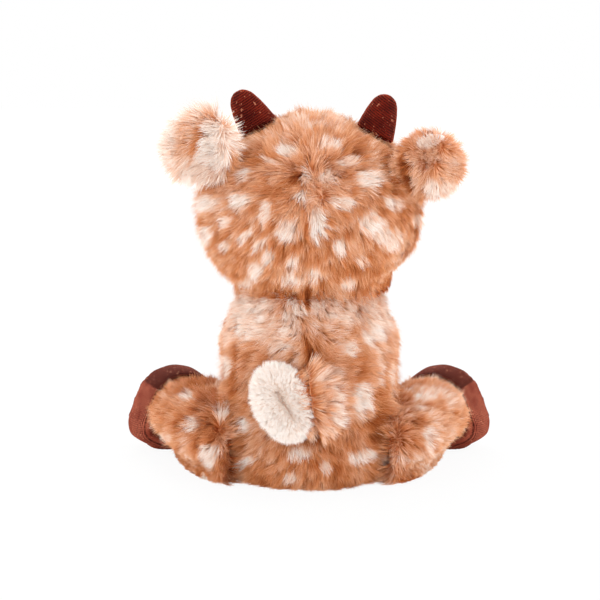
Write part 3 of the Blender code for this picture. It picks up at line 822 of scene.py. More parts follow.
def coat_tone(points, seed, level=0.46):
    """The coat's own tone, cloudy on two scales."""
    return (level + 0.11 * drift(points, 24 * MM, seed)
            + 0.07 * drift(points, 7 * MM, seed + 1))


# %% Directions and nearness
def away_from(points, middle):
    return unit(points - middle)


def away_from_line(points, start, end):
    """Away from the nearest point of a straight parting."""
    run = end - start
    along = np.clip((points - start) @ run / (run @ run), 0, 1)
    return unit(points - start - along[:, None] * run)


def near_point(points, middle, far, close=0):
    """1 closer to a point than close, and 0 from far on."""
    return smooth_step(far, close, lengths(points - middle))


# %% [markdown]
# ## Skins
#
# Long fur hides its cloth, so a furred skin lies a few millimetres inside the CAD cover and the
# pile fills the space up to it. Velvet and short plush show their own surface, so those skins
# lie almost at the CAD cover. Seats stay flat on the floor, as the weight of the beads makes
# them.

# %% Skins that stay clear of their filling
FUR_INSET = 3.4 * MM
SMALL_INSET = 2.2 * MM
PLUSH_INSET = 1.0 * MM
FILLING_CLEARANCE = 0.5 * MM
SEAT_LIFT = 0.6 * MM
FLOOR_FLAT = ((0, 0, SEAT_LIFT), (0, 0, -1))


def mesh_tree(mesh):
    return BVHTree.FromPolygons([v.co for v in mesh.vertices], [f.vertices for f in mesh.polygons])


def clear_of(skin, node):
    """Moves a skin out to where it clears the filling below it."""
    tree = mesh_tree(NODES[node].data)
    for vert in skin.data.vertices:
        near, normal, _, gap = tree.find_nearest(vert.co)
        inside = (vert.co - near).dot(normal) < 0
        if inside or gap < FILLING_CLEARANCE:
            vert.co = near + normal * FILLING_CLEARANCE


def above_floor(skin):
    for vert in skin.data.vertices:
        vert.co.z = max(vert.co.z, SEAT_LIFT)


def fur_skin(name, body, nodes, filling, inset=FUR_INSET, voxel=2.4, rounds=3,
             look=ground, slot="spotted_fur", flats=(), shift=(0, 0, 0)):
    skin = wrap(name, nodes, voxel * MM, rounds, inset, (FLOOR_FLAT, *flats))
    for vert in skin.data.vertices:
        vert.co += Vector(shift)
    clear_of(skin, filling)
    above_floor(skin)
    skin.data.update()
    dress(skin, body, slot, look, *nodes)
    return skin


def end_flat(node, way):
    """The plane at the far end of a leg, where its hoof is sewn on."""
    return way * (places_of(NODES[node]) @ way).max(), way


# %% Skins of all the furred forms
SIDES = {"left": 1, "right": -1}
HIND_YAW = math.radians(25.0)
HIND_WAYS = {side: np.array((math.sin(HIND_YAW) * sign, -math.cos(HIND_YAW), 0))
             for side, sign in SIDES.items()}
FRONT_WAYS = {side: unit(np.array((-0.36 * sign, -0.50, -1.0))) for side, sign in SIDES.items()}
NECK_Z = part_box("body_cover")[1][2]
HEAD_LOW_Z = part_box("head_cover")[0][2]
HIP_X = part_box("hind_leg_cover_left")[0][0]
head_skin = fur_skin("head_skin", "head", ["head_cover"], "head_filling",
                     flats=[((0, 0, HEAD_LOW_Z), (0, 0, -1))])
body_skin = fur_skin("body_skin", "torso", ["body_cover"], "body_filling",
                     flats=[((0, 0, NECK_Z), (0, 0, 1))])
tail_skin = fur_skin("tail_fur_skin", "tail", ["tail_outer"], "tail_filling", inset=SMALL_INSET,
                     voxel=1.5)
EAR_SHIFTS = {"left": (0, 0, 0), "right": (2.6 * MM, 0, -2.2 * MM)}
ear_skins, hind_skins, front_skins = {}, {}, {}
for side in SIDES:
    ear_skins[side] = fur_skin(f"ear_skin_{side}", f"ear_{side}",
                               [f"ear_back_{side}", f"ear_lining_{side}"], f"ear_wadding_{side}",
                               inset=SMALL_INSET, voxel=1.5, shift=EAR_SHIFTS[side])
    hind_skins[side] = fur_skin(f"hind_leg_skin_{side}", f"hind_leg_{side}",
                                [f"hind_leg_cover_{side}"], f"hind_leg_filling_{side}", voxel=2.0,
                                flats=[((HIP_X * SIDES[side], 0, 0), (-SIDES[side], 0, 0)),
                                       end_flat(f"hind_leg_cover_{side}", HIND_WAYS[side])])
    front_skins[side] = fur_skin(f"front_leg_skin_{side}", f"front_leg_{side}",
                                 [f"front_leg_cover_{side}"], f"front_leg_filling_{side}",
                                 inset=SMALL_INSET, voxel=1.6,
                                 flats=[end_flat(f"front_leg_cover_{side}", FRONT_WAYS[side])])
print("head skin", len(head_skin.data.polygons), "faces")

# %% [markdown]
# ## The head's coat
#
# Two whorls sit at the back of the head, as where a brush was turned. The fur falls away from
# them all round. On the face the pile grows away from the muzzle and is clipped short round the
# eyes, because they would drown in it otherwise.

# %% Where things are on the head
DOWN = np.array((0, 0, -1.0))
HEAD_MIDDLE = np.array((-0.0016, -0.006, 0.1385))
MUZZLE_MIDDLE = np.array((-0.0005, -0.062, 0.1235))
BACK_WHORL = np.array((-0.003, 0.036, 0.164))
CROWN_WHORL = np.array((-0.0035, 0.012, 0.184))
HEAD_FLOOR = places_of(head_skin)[:, 2].min() + 1.2 * MM
EYES = {side: centre_of(f"eye_{side}") for side in SIDES}
HORN_MIDDLES = {side: centre_of(f"horn_cover_{side}") for side in SIDES}
HORN_AXES = {side: unit(HORN_MIDDLES[side] - HEAD_MIDDLE) for side in SIDES}
HORN_FEET = {side: HORN_MIDDLES[side] - 0.010 * HORN_AXES[side] for side in SIDES}
print("the eyes are", round((EYES["left"] - EYES["right"])[0] / MM, 1), "mm apart")


# %% How the head's pile is brushed
def pressed_side(roots):
    """Where the pile is brushed flat: the lower right side of the head."""
    return smooth_step(-0.028, -0.048, roots[:, 0]) * smooth_step(0.156, 0.142, roots[:, 2])


def head_comb(roots, normals):
    """Down and out from the two whorls at the back, and away from the muzzle on the face."""
    crown_share = 0.35 * near_point(roots, CROWN_WHORL, 0.030, 0.010)[:, None]
    far = smooth_step(0.012, 0.05, lengths(roots - BACK_WHORL))[:, None]
    behind = laid_over(away_from(roots, BACK_WHORL), crown_share, away_from(roots, CROWN_WHORL))
    behind = behind + DOWN * 0.85 * far
    behind = behind + pressed_side(roots)[:, None] * np.array((0.4, 0, -1.0))
    face = away_from(roots, MUZZLE_MIDDLE) + DOWN * 0.15
    face_share = smooth_step(0.15, 0.6, -normals[:, 1])[:, None]
    close = near_point(roots, BACK_WHORL, 0.020)[:, None]
    wide = near_point(roots, BACK_WHORL, 0.045)[:, None]
    ruffled = (0.30 + 0.45 * wide) * swirl(roots, 13 * MM, 24)
    ruffled = ruffled + 1.3 * close * swirl(roots, 6 * MM, 27)
    return laid_over(behind, face_share, face) + ruffled


def head_laid(roots, normals):
    stood = 0.30 * near_point(roots, BACK_WHORL, 0.016) + 0.25 * near_point(roots, CROWN_WHORL, 0.03)
    left = smooth_step(0.030, 0.050, roots[:, 0]) * smooth_step(0.165, 0.150, roots[:, 2])
    return 1 - stood - 0.22 * left + 0.15 * pressed_side(roots)


# %% Where the head's pile is short or missing
MUZZLE_ROOM = (0.0165, 0.02, 0.0135)
EYE_ROOM = 6.8 * MM
HORN_ROOM = 5.6 * MM
HORN_CLIP = 0.28
HORN_FRONT_CLIP = 0.6
FACE_CLIP = 0.62
EYE_CLIP = 0.30
MUZZLE_CLIP = 0.4
PRESSED_CLIP = 0.35
LOW_RIGHT_CLIP = 0.58


def head_keep(roots, normals):
    neck = (normals[:, 2] < -0.75) & (roots[:, 2] < HEAD_FLOOR)
    muzzle = lengths((roots - MUZZLE_MIDDLE) / MUZZLE_ROOM) < 1
    kept = ~neck & ~muzzle
    for side in SIDES:
        kept &= lengths(roots - EYES[side]) > EYE_ROOM
        from_horn = roots - HORN_MIDDLES[side]
        from_horn = from_horn - np.outer(from_horn @ HORN_AXES[side], HORN_AXES[side])
        kept &= (lengths(from_horn) > HORN_ROOM) | (roots[:, 2] < HEAD_MIDDLE[2])
    return kept


def head_trim(roots, normals):
    chin = smooth_step(HEAD_FLOOR + 0.012, HEAD_FLOOR, roots[:, 2])
    share = 1 - (1 - FACE_CLIP) * smooth_step(0.25, 0.75, -normals[:, 1]) * (1 - chin)
    share = share * (1 - PRESSED_CLIP * pressed_side(roots))
    low_right = smooth_step(-0.020, -0.038, roots[:, 0]) * smooth_step(0.124, 0.110, roots[:, 2])
    share = share * (1 - LOW_RIGHT_CLIP * low_right)
    for side in SIDES:
        share = laid_over(share, near_point(roots, EYES[side], 0.020, 0.007), EYE_CLIP)
    share = laid_over(share, near_point(roots, MUZZLE_MIDDLE, 0.030, 0.019), MUZZLE_CLIP)
    for side in SIDES:
        ahead = smooth_step(0.003, -0.006, roots[:, 1] - HORN_FEET[side][1])
        share = laid_over(share, near_point(roots, HORN_FEET[side], 0.025, 0.015),
                          HORN_CLIP + (HORN_FRONT_CLIP - HORN_CLIP) * ahead)
    return share


# %% The head's colours, and its fur
PALE_CHIN_MIDDLE = (0, 0.006, -0.006)
PALE_CHIN_HALVES = (0.030, 0.03, 0.022)
head_hidden_spots = [(middle, size) for middle, size in scattered_spots(head_skin, "head", 11)
                     if np.linalg.norm(middle - MUZZLE_MIDDLE) > 0.032
                     and min(np.linalg.norm(middle - eye) for eye in EYES.values()) > 0.016]


def head_tone(shown, normals, roots):
    """Painted shade under the back of the head, spotted, and pale round the muzzle and the eyes."""
    crease_shade = smooth_step(HEAD_FLOOR + 0.012, HEAD_FLOOR, shown[:, 2])
    tone = coat_tone(shown, 21) - 0.16 * crease_shade * smooth_step(0.034, 0.022, np.abs(shown[:, 0]))
    tone = paint_scattered(shown, head_hidden_spots, tone, 22)
    from_chin = (shown - MUZZLE_MIDDLE - PALE_CHIN_MIDDLE) / PALE_CHIN_HALVES
    pale = smooth_step(1.25, 0.8, lengths(from_chin))
    for eye in EYES.values():
        pale = np.maximum(pale, 0.8 * near_point(shown, eye, 0.0135, 0.0095))
    return paint(shown, normals, HEAD_SPOTS, laid_over(tone, pale, 0.84), 23)


lay_coat("head_fur", head_skin, Coat(), head_comb, head_tone, 1, "head", head_keep, head_trim,
         head_laid, {"back": lambda roots: roots[:, 1] > HEAD_MIDDLE[1],
                     "face": lambda roots: roots[:, 1] <= HEAD_MIDDLE[1]})

# %% [markdown]
# ## The body's coat
#
# The body's pile falls to the floor, and stands out all round the tail, which parts it. The belly
# is paler than the back, as on a fawn. Under the seat the weight of the toy presses the pile
# flat, and at the hips it stands up between body and thigh.

# %% How the body's pile is brushed
BODY_TOP = places_of(body_skin)[:, 2].max()
HIP_DISC_MIDDLE = np.array((0.011, 0.0215))
HIP_DISC_RADIUS = 20 * MM
HIP_RUFF = 9 * MM
TAIL_PARTING_PIXEL = (306, 388)
TAIL_PARTING = photo_place(*TAIL_PARTING_PIXEL, 0.045)


def beside_hip(roots):
    """1 at the rim of the hip, where the thigh is sewn on, and 0 away from it."""
    gap = np.abs(lengths(roots[:, 1:] - HIP_DISC_MIDDLE) - HIP_DISC_RADIUS)
    return smooth_step(HIP_RUFF, 0, gap) * smooth_step(0.026, 0.034, np.abs(roots[:, 0]))


def body_comb(roots, normals):
    """Downwards, and outwards all round the tail."""
    down = np.zeros_like(roots)
    down[:, 2] = -1.0
    down[:, 0] = 0.45 * roots[:, 0] / 0.044
    outward = away_from(roots, TAIL_PARTING)
    outward[:, 2] = np.minimum(outward[:, 2], 0.15)
    near = near_point(roots, TAIL_PARTING, 0.070)[:, None]
    way = down * (1 - near) + (1.6 * outward + 0.3 * down) * near
    way = way + 0.35 * swirl(roots, 16 * MM, 35)
    under = (normals[:, 2] < -0.6)[:, None]
    return np.where(under, unit(roots), way)


def body_laid(roots, normals):
    flank = smooth_step(0.030, 0.042, np.abs(roots[:, 0])) * smooth_step(0.035, 0.055, roots[:, 2])
    return 1 - 0.45 * beside_hip(roots) + 0.15 * flank


def body_keep(roots, normals):
    top = (normals[:, 2] > 0.8) & (roots[:, 2] > BODY_TOP - 1.2 * MM)
    top &= np.hypot(roots[:, 0], roots[:, 1]) < 0.026
    hip = lengths(roots[:, 1:] - HIP_DISC_MIDDLE) < HIP_DISC_RADIUS
    return ~top & ~(hip & (np.abs(roots[:, 0]) > 0.036))


def body_trim(roots, normals):
    neck = smooth_step(0.078, 0.096, roots[:, 2])
    under = smooth_step(0.3, 0.8, -normals[:, 2])
    return (1 - 0.45 * under) * (1 - 0.25 * neck) * (1 + 0.35 * beside_hip(roots))


# %% The body's colours, and its fur
body_hidden_spots = scattered_spots(body_skin, "body", 12)


def body_tone(shown, normals, roots):
    """Pale at the shoulders and on the belly, and darker near the floor."""
    tone = coat_tone(shown, 31) + 0.21 * smooth_step(0.066, 0.088, shown[:, 2])
    tone = tone - 0.06 * smooth_step(0.055, 0.035, shown[:, 2])
    tone = paint_scattered(shown, body_hidden_spots, tone, 32)
    belly = np.hypot(shown[:, 0] / 0.024, np.minimum(shown[:, 2] - 0.085, 0) / 0.2)
    belly = smooth_step(1.2, 0.75, belly + 0.1 * drift(shown, 0.012, 33))
    belly = belly * smooth_step(0.2, 0.6, -normals[:, 1])
    return paint(shown, normals, BODY_SPOTS, laid_over(tone, belly, 0.86), 34)


BODY_COAT = Coat(length=11.0, lean=(25, 66), per_lock=38, pull=0.36, stray=13.0, lock_turn=17.0,
                 lock_tone=0.06)
lay_coat("body_fur", body_skin, BODY_COAT, body_comb, body_tone, 2, "torso", body_keep, body_trim,
         body_laid, {"back": lambda roots: roots[:, 1] > 0, "front": lambda roots: roots[:, 1] <= 0})

# %% [markdown]
# ## Legs
#
# The thighs lie on the floor beside the body and point forwards and outwards. The pile runs from
# hip to hoof and hangs a little over the hoof's seam.

# %% Leg fur
HIND_COAT = Coat(length=10.0, lean=(24, 62), lock_turn=17.0)
FRONT_COAT = Coat(length=8.0, lean=(36, 78))
# The right leg's coat is paler than the left's: painted light, as if more light fell on that side.
LIT_LEG_LEVEL = {"left": 0.42, "right": 0.55}
THIGH_TOP_CLIP = {"left": 0.10, "right": 0.45}
HIP_LAP = 6.0 * MM
SHOULDER_CLIP = 0.35
HOOF_BARE = 1.5 * MM
HOOF_TRIM = 12.0 * MM
HOOF_TRIM_SHARE = 0.65


def leg_coat(name, skin, way, hip, seam_x, coat, body, table, level, top_clip, seed):
    """Fur of one leg; seam_x is how far from the middle its flat seam lies, if it has one."""
    end = (places_of(skin) @ way).max()
    spots = scattered_spots(skin, "leg", seed + 5)
    seam_gap = seam_x + 1.0 * MM

    def comb(roots, normals):
        """Away from the hip, but across the seam towards the body where the two meet."""
        way_out = away_from(roots, hip) + 0.35 * way + 0.2 * DOWN
        beside = smooth_step(seam_x + HIP_LAP, seam_gap, np.abs(roots[:, 0]))[:, None]
        way_out = laid_over(way_out, beside, np.array((-np.sign(hip[0]), 0, 0.0)))
        return way_out + (0.25 + 0.3 * beside) * swirl(roots, 12 * MM, seed + 9)

    def keep(roots, normals):
        at_hip = (np.abs(roots[:, 0]) < seam_gap) & (np.abs(normals[:, 0]) > 0.93)
        return (roots @ way < end - HOOF_BARE) & ~at_hip

    def trim(roots, normals):
        near = smooth_step(end - HOOF_TRIM, end - HOOF_BARE, roots @ way)
        from_hip = smooth_step(seam_x, seam_x + HIP_RUFF, np.abs(roots[:, 0]))
        under = smooth_step(-0.1, 0.5, -normals[:, 2]) * from_hip
        shoulder = smooth_step(0.060, 0.078, roots[:, 2])
        top = smooth_step(0.3, 0.8, normals[:, 2]) * smooth_step(0.062, 0.046, np.abs(roots[:, 0]))
        share = (1 - 0.6 * under) * (1 - HOOF_TRIM_SHARE * near) * (1 - top_clip * top)
        return share * (1 - (1 - SHOULDER_CLIP) * shoulder)

    def laid(roots, normals):
        return 1 - 0.45 * smooth_step(seam_x + HIP_RUFF, seam_x, np.abs(roots[:, 0]))

    def tone(shown, normals, roots):
        tone = paint_scattered(shown, spots, coat_tone(shown, seed + 6, level), seed + 7)
        return paint(shown, normals, table, tone, seed + 8)

    lay_coat(name, skin, coat, comb, tone, seed, body, keep, trim, laid)


for side, sign in SIDES.items():
    leg_coat(f"hind_leg_fur_{side}", hind_skins[side], HIND_WAYS[side],
             np.array((0.036 * sign, 0.006, 0.024)), HIP_X, HIND_COAT, f"hind_leg_{side}",
             LEG_SPOTS, LIT_LEG_LEVEL[side], THIGH_TOP_CLIP[side], 41 + sign)
    leg_coat(f"front_leg_fur_{side}", front_skins[side], FRONT_WAYS[side],
             np.array((0.038 * sign, -0.012, 0.090)), 0.0, FRONT_COAT, f"front_leg_{side}",
             BODY_SPOTS, 0.50, 0.0, 61 + sign)

# %% [markdown]
# ## Ears and tail
#
# Each ear is two pieces of pile sewn edge to edge and turned. The pile on its back fans out from
# a parting. The tail has long fur on one side and short white plush on the other.

# %% Ear fur
# On the left ear the narrow strips at 194 and 236 across are painted shade: where its white fur
# overlaps the tan rim, and where the ear meets the head. On the right ear the dark strip at 404
# across is painted shade where the ear meets the head.
EAR_SPOTS = {
    "left": (
        (204, 117, 28, 12, -30, 0.64), (184, 142, 18, 56, 8, 0.64), (166, 142, 12, 60, 8, 0.86),
        (216, 143, 44, 44, 0, 0.93), (213, 167, 30, 28, 0, 0.90), (203, 177, 36, 18, 0, 0.82),
        (236, 172, 10, 36, 0, 0.45), (194, 142, 7, 34, 8, 0.36),
    ),
    "right": (
        (430, 140, 28, 15, -20, 0.84), (433, 192, 20, 20, 0, 0.86), (451, 190, 18, 16, 0, 0.78),
        (452, 170, 14, 26, 0, 0.64), (422, 208, 20, 18, 0, 0.40), (404, 174, 8, 44, -12, 0.12),
    ),
}
EAR_LEVEL = {"left": 0.84, "right": 0.60}
EAR_PARTING_PIXELS = {"left": ((224, 122), (222, 164)), "right": ((442, 148), (438, 164))}
EAR_BACK_Y = 0.030
PARTING_RUFF = 7 * MM
PARTING_STAND = {"left": 0.7, "right": 0.25}
EAR_COAT = Coat(length=9.5, lean=(26, 66), density=6.0, width=0.26, per_lock=26, pull=0.36,
                stray=11.0, lock_turn=12.0, lock_tone=0.03)
EAR_TRIM = {"left": 1.0, "right": 0.74}


def ear_coat(side, seed):
    skin = ear_skins[side]
    middle = places_of(skin).mean(axis=0)
    start, end = (photo_place(*pixel, EAR_BACK_Y) for pixel in EAR_PARTING_PIXELS[side])

    def comb(roots, normals):
        return away_from_line(roots, start, end) + 0.4 * swirl(roots, 10 * MM, seed + 3)

    def laid(roots, normals):
        near = near_point(roots, start, PARTING_RUFF) + near_point(roots, end, PARTING_RUFF)
        return 1 - PARTING_STAND[side] * np.minimum(near, 1)

    def tone(shown, normals, roots):
        tone = EAR_LEVEL[side] + 0.07 * drift(shown, 0.012, seed + 1)
        inner = smooth_step(0.3, 0.6, -normals[:, 1]) * near_point(shown, middle, 0.019, 0.012)
        return paint(shown, normals, EAR_SPOTS[side], laid_over(tone, inner, 0.9), seed + 2)

    def trim(roots, normals):
        return EAR_TRIM[side] * (1 + 0.35 * smooth_step(0.180, 0.192, roots[:, 2]))

    lay_coat(f"ear_fur_{side}", skin, EAR_COAT, comb, tone, seed, f"ear_{side}", trim=trim,
             laid=laid)


for side, sign in SIDES.items():
    ear_coat(side, 81 + sign)

# %% The folded white side of the tail
TAIL_OVAL_MIDDLE = np.array(Vector((0.0136, 0.0512, 0.0502)))
TAIL_OVAL_HALVES = np.array((11.2, 7.8, 17.8)) * MM
TAIL_OVAL_TILT = math.radians(26.0)
FOLD_TILT = math.radians(35.0)
FOLD_PLACE = np.array((-1.5, -1.5)) * MM
FOLD_HALF_LENGTH = 8.0 * MM
FOLD_WIDTH = 0.9 * MM
FOLD_DEPTH = 1.1 * MM


def tilted(x, z, angle):
    """Points of the oval's face, turned clockwise as the camera sees them."""
    return (x * math.cos(angle) - z * math.sin(angle), x * math.sin(angle) + z * math.cos(angle))


def across_fold(x, z):
    """How far points of the oval's face are beside the line of the fold, and along it."""
    return tilted(x - FOLD_PLACE[0], z - FOLD_PLACE[1], FOLD_TILT)


def from_fold(x, z):
    across, along = across_fold(x, z)
    return np.hypot(across, np.maximum(np.abs(along) - FOLD_HALF_LENGTH, 0))


def oval_face_place(points):
    """Points of the tail as they lie on the oval's face: leftwards and upwards from its middle."""
    offsets = points - TAIL_OVAL_MIDDLE
    return offsets[:, 0], offsets @ PICTURE_UP


oval = bmesh.new()
bmesh.ops.create_icosphere(oval, subdivisions=5, radius=1.0)
for vert in oval.verts:
    x, y, z = np.array(vert.co) * TAIL_OVAL_HALVES
    front = smooth_step(0.0, 0.4, y / TAIL_OVAL_HALVES[1])
    x, z = tilted(x, z, -TAIL_OVAL_TILT)
    pinch = math.exp(-(from_fold(x, z) / FOLD_WIDTH) ** 2)
    vert.co = Vector((x, y - FOLD_DEPTH * pinch * front, z))
bmesh.ops.rotate(oval, verts=oval.verts, cent=(0, 0, 0),
                 matrix=Matrix.Rotation(CAMERA_RISE, 3, "X"))
bmesh.ops.translate(oval, verts=oval.verts, vec=Vector(TAIL_OVAL_MIDDLE))
tail_plush_skin = finish_mesh("tail_plush_skin", oval)
dress(tail_plush_skin, "tail", "white_plush", pale_ground, "tail_lining")

# %% Tail fur and plush
TAIL_COAT = Coat(length=10.5, lean=(12, 54), lock_turn=17.0)
TAIL_PLUSH_COAT = Coat(density=17.0, length=5.6, lean=(12, 52), width=0.18, per_lock=26, pull=0.34,
                       lock_turn=12.0, lock_tone=0.01)
TAIL_FACE_CLIP = 0.55
TAIL_RIM_SHARE = 0.66


def tail_comb(roots, normals):
    way = away_from(roots, TAIL_OVAL_MIDDLE) + np.array((-0.1, 0, -0.15))
    return way + 0.3 * swirl(roots, 12 * MM, 98)


def oval_share(points):
    """0 in the middle of the white oval, and 1 at its rim."""
    x, z = tilted(*oval_face_place(points), TAIL_OVAL_TILT)
    return np.hypot(x / TAIL_OVAL_HALVES[0], z / TAIL_OVAL_HALVES[2])


def tail_keep(roots, normals):
    """All of the tail but what lies behind the white oval."""
    return (oval_share(roots) > TAIL_RIM_SHARE) | (normals[:, 1] < -0.2)


def tail_plush_trim(roots, normals):
    return TAIL_FACE_CLIP + (1 - TAIL_FACE_CLIP) * smooth_step(0.6, 1.0, oval_share(roots))


def tail_plush_comb(roots, normals):
    """Away from the fold on both sides of it."""
    across, _ = across_fold(*oval_face_place(roots))
    side = np.tanh(across / (4.0 * MM))[:, None]
    way = np.array((math.cos(FOLD_TILT), 0, -math.sin(FOLD_TILT)))
    return 0.5 * side * way + away_from(roots, TAIL_OVAL_MIDDLE)


def tail_tone(shown, normals, roots):
    return paint(shown, normals, TAIL_SPOTS, coat_tone(shown, 91, 0.58), 92)


def tail_plush_tone(shown, normals, roots):
    """White, with painted shade that darkens it a little in the fold."""
    crease_shade = np.exp(-(from_fold(*oval_face_place(shown)) / FOLD_WIDTH) ** 2)
    return 0.98 + 0.015 * drift(shown, 0.01, 93) - 0.14 * crease_shade * (normals[:, 1] > 0)


def tail_seam_keep(roots, normals):
    """The rim of the oval on the long fur's side, where the seam catches its strands."""
    offsets = roots - TAIL_OVAL_MIDDLE
    beside = (offsets[:, 0] < -3.5 * MM) & (np.abs(offsets[:, 2]) < 13 * MM)
    return (oval_share(roots) > 0.93) & (normals[:, 1] > -0.35) & beside


lay_coat("tail_fur", tail_skin, TAIL_COAT, tail_comb, tail_tone, 94, "tail", tail_keep)
lay_pile("tail_seam_fur", grow(tail_plush_skin, TAIL_COAT, tail_comb, tail_tone, tail_seam_keep, 96),
         FUR, "tail", "spotted_fur")
lay_pile("tail_plush", grow(tail_plush_skin, TAIL_PLUSH_COAT, tail_plush_comb, tail_plush_tone,
                            anywhere, 95, tail_plush_trim), SHORT_PLUSH, "tail", "white_plush")

# %% [markdown]
# ## Muzzle, nose and eyes
#
# The photograph doesn't show the face, so it is a plain, friendly one. The muzzle is short cream
# plush. The nose and the eyes are moulded, glossy and dark, and are held by washers inside the
# head.

# %% Muzzle
MUZZLE_COAT = Coat(density=6.0, length=2.6, lean=(15, 55), width=0.28, per_lock=8, pull=0.45)
muzzle_skin = fur_skin("muzzle_skin", "head", ["muzzle_cover"], "muzzle_filling",
                       inset=PLUSH_INSET, voxel=1.2, look=pale_ground, slot="cream_plush")
NOSE_MIDDLE = centre_of("nose")
THREAD_RADIUS = 0.55 * MM
THREAD_RISE = 0.7 * MM
LIP_SPAN = 6.8 * MM
LIP_DROP = 1.7 * MM
LIP_TOP = NOSE_MIDDLE[2] - 5.8 * MM
muzzle_tree = mesh_tree(muzzle_skin.data)


def on_muzzle(x, z):
    """A place for thread on the front of the muzzle."""
    hit, normal, _, _ = muzzle_tree.ray_cast(Vector((x, -0.12, z)), Vector((0, 1, 0)))
    return hit + normal * THREAD_RISE


MOUTH_LINES = {"mouth_thread_lip": [], "mouth_thread_middle": []}
for step in np.linspace(-1, 1, 25):
    sag = math.sin(math.pi * abs(step)) * LIP_DROP
    MOUTH_LINES["mouth_thread_lip"].append(
        on_muzzle(NOSE_MIDDLE[0] + step * LIP_SPAN, LIP_TOP - sag + 0.8 * LIP_DROP * step ** 4))
for height in np.linspace(NOSE_MIDDLE[2] - 3.5 * MM, LIP_TOP, 7):
    MOUTH_LINES["mouth_thread_middle"].append(on_muzzle(NOSE_MIDDLE[0], height))
MOUTH_POINTS = np.array([place[:] for places in MOUTH_LINES.values() for place in places])


def muzzle_comb(roots, normals):
    return away_from(roots, NOSE_MIDDLE + (0, -0.002, 0.002))


def muzzle_keep(roots, normals):
    """The front of the muzzle, but not what is under the nose."""
    from_nose = (roots - NOSE_MIDDLE)[:, ::2]
    return (roots[:, 1] < -0.052) & (lengths(from_nose) > 0.0042)


def muzzle_tone(shown, normals, roots):
    up = smooth_step(0.124, 0.134, shown[:, 2])
    return 0.86 - 0.18 * up + 0.04 * drift(shown, 0.008, 96)


def muzzle_trim(roots, normals):
    """Short along the mouth, so that its stitches show."""
    gaps = np.min([lengths(roots - point) for point in MOUTH_POINTS], axis=0)
    return 1 - 0.65 * smooth_step(2.4 * MM, 1.0 * MM, gaps)


lay_pile("muzzle_plush", grow(muzzle_skin, MUZZLE_COAT, muzzle_comb, muzzle_tone, muzzle_keep, 97,
                              muzzle_trim), SHORT_PLUSH, "head", "cream_plush")

# %% Mouth stitches
thread_look = Shader("mouth_thread", Roughness=0.6, Sheen_Weight=0.3)
twist = thread_look.noise(1400.0)
thread_look.colour(thread_look.mix(twist, screen(44, 20, 14), screen(92, 50, 38)))
thread_look.bump(twist, 0.8, 0.3 * MM)
for name, places in MOUTH_LINES.items():
    line = bpy.data.curves.new(name, "CURVE")
    line.dimensions = "3D"
    line.bevel_depth = THREAD_RADIUS
    line.bevel_resolution = 3
    line.use_fill_caps = True
    spline = line.splines.new("POLY")
    spline.points.add(len(places) - 1)
    for point, place in zip(spline.points, places):
        point.co = (*place, 1)
    thread = show(name, line)
    bpy.context.view_layer.update()
    mesh = bpy.data.meshes.new_from_object(thread)
    bpy.data.objects.remove(thread)
    dress(show(name, mesh), "head", "red_brown_velvet", thread_look)
    print(name, len(mesh.polygons), "faces")


# %% Moulded eyes
EYE_RADIUS = 4.8 * MM
EYE_PROFILE = ((1.00, 0.00), (1.00, 0.18), (0.97, 0.34), (0.88, 0.56), (0.72, 0.76),
               (0.50, 0.91), (0.25, 0.98), (0.00, 1.00))
EYE_HEIGHT = 4.0 * MM
EYE_STEPS = 48

plastic = Shader("dark_plastic", Roughness=0.10, Specular_IOR_Level=0.25, Coat_Weight=0.1,
                 Coat_Roughness=0.03)
pupil_edge = plastic.attribute("from_middle").between(0.42, 0.60)
plastic.colour(plastic.mix(pupil_edge, screen(12, 8, 7), screen(62, 30, 16)))


def to_button(node, washer, height, front="Z", up="Y"):
    """The matrix that takes a dome from the origin to the front of its button's CAD node."""
    middle = centre_of(node)
    way = unit(middle - centre_of(washer))
    top = (places_of(NODES[node]) @ way).max()
    turn = Vector(way).to_track_quat(front, up).to_matrix().to_4x4()
    turn.translation = Vector(middle + way * (top - middle @ way - height))
    return turn


for side in SIDES:
    eye = bmesh.new()
    layer = eye.verts.layers.float.new("from_middle")
    ring = [eye.verts.new((EYE_RADIUS * r, 0, EYE_HEIGHT * h)) for r, h in EYE_PROFILE]
    for vert, (share, _) in zip(ring, EYE_PROFILE):
        vert[layer] = share
    edges = [eye.edges.new(pair) for pair in zip(ring, ring[1:])]
    bmesh.ops.spin(eye, geom=ring + edges, cent=(0, 0, 0), axis=(0, 0, 1), angle=math.tau,
                   steps=EYE_STEPS, use_merge=True)
    bmesh.ops.remove_doubles(eye, verts=eye.verts, dist=DOUBLES)
    bmesh.ops.holes_fill(eye, edges=[e for e in eye.edges if e.is_boundary])
    bmesh.ops.recalc_face_normals(eye, faces=eye.faces)
    place = to_button(f"eye_{side}", f"eye_washer_{side}", EYE_HEIGHT)
    bmesh.ops.transform(eye, matrix=place, verts=eye.verts)
    dress(finish_mesh(f"eye_dome_{side}", eye), "head", "dark_plastic", plastic, f"eye_{side}")
print("eyes", 2 * EYE_RADIUS / MM, "mm across")

# %% Moulded nose
NOSE_HALVES = (6.2, 4.2, 4.4)
NOSE_NARROWING = 0.38
NOSE_BACK_SHARE = 0.35
NOSTRIL_ACROSS, NOSTRIL_DOWN = 0.42, 0.12
NOSTRIL_DEPTH, NOSTRIL_SPREAD = 0.22, 0.035

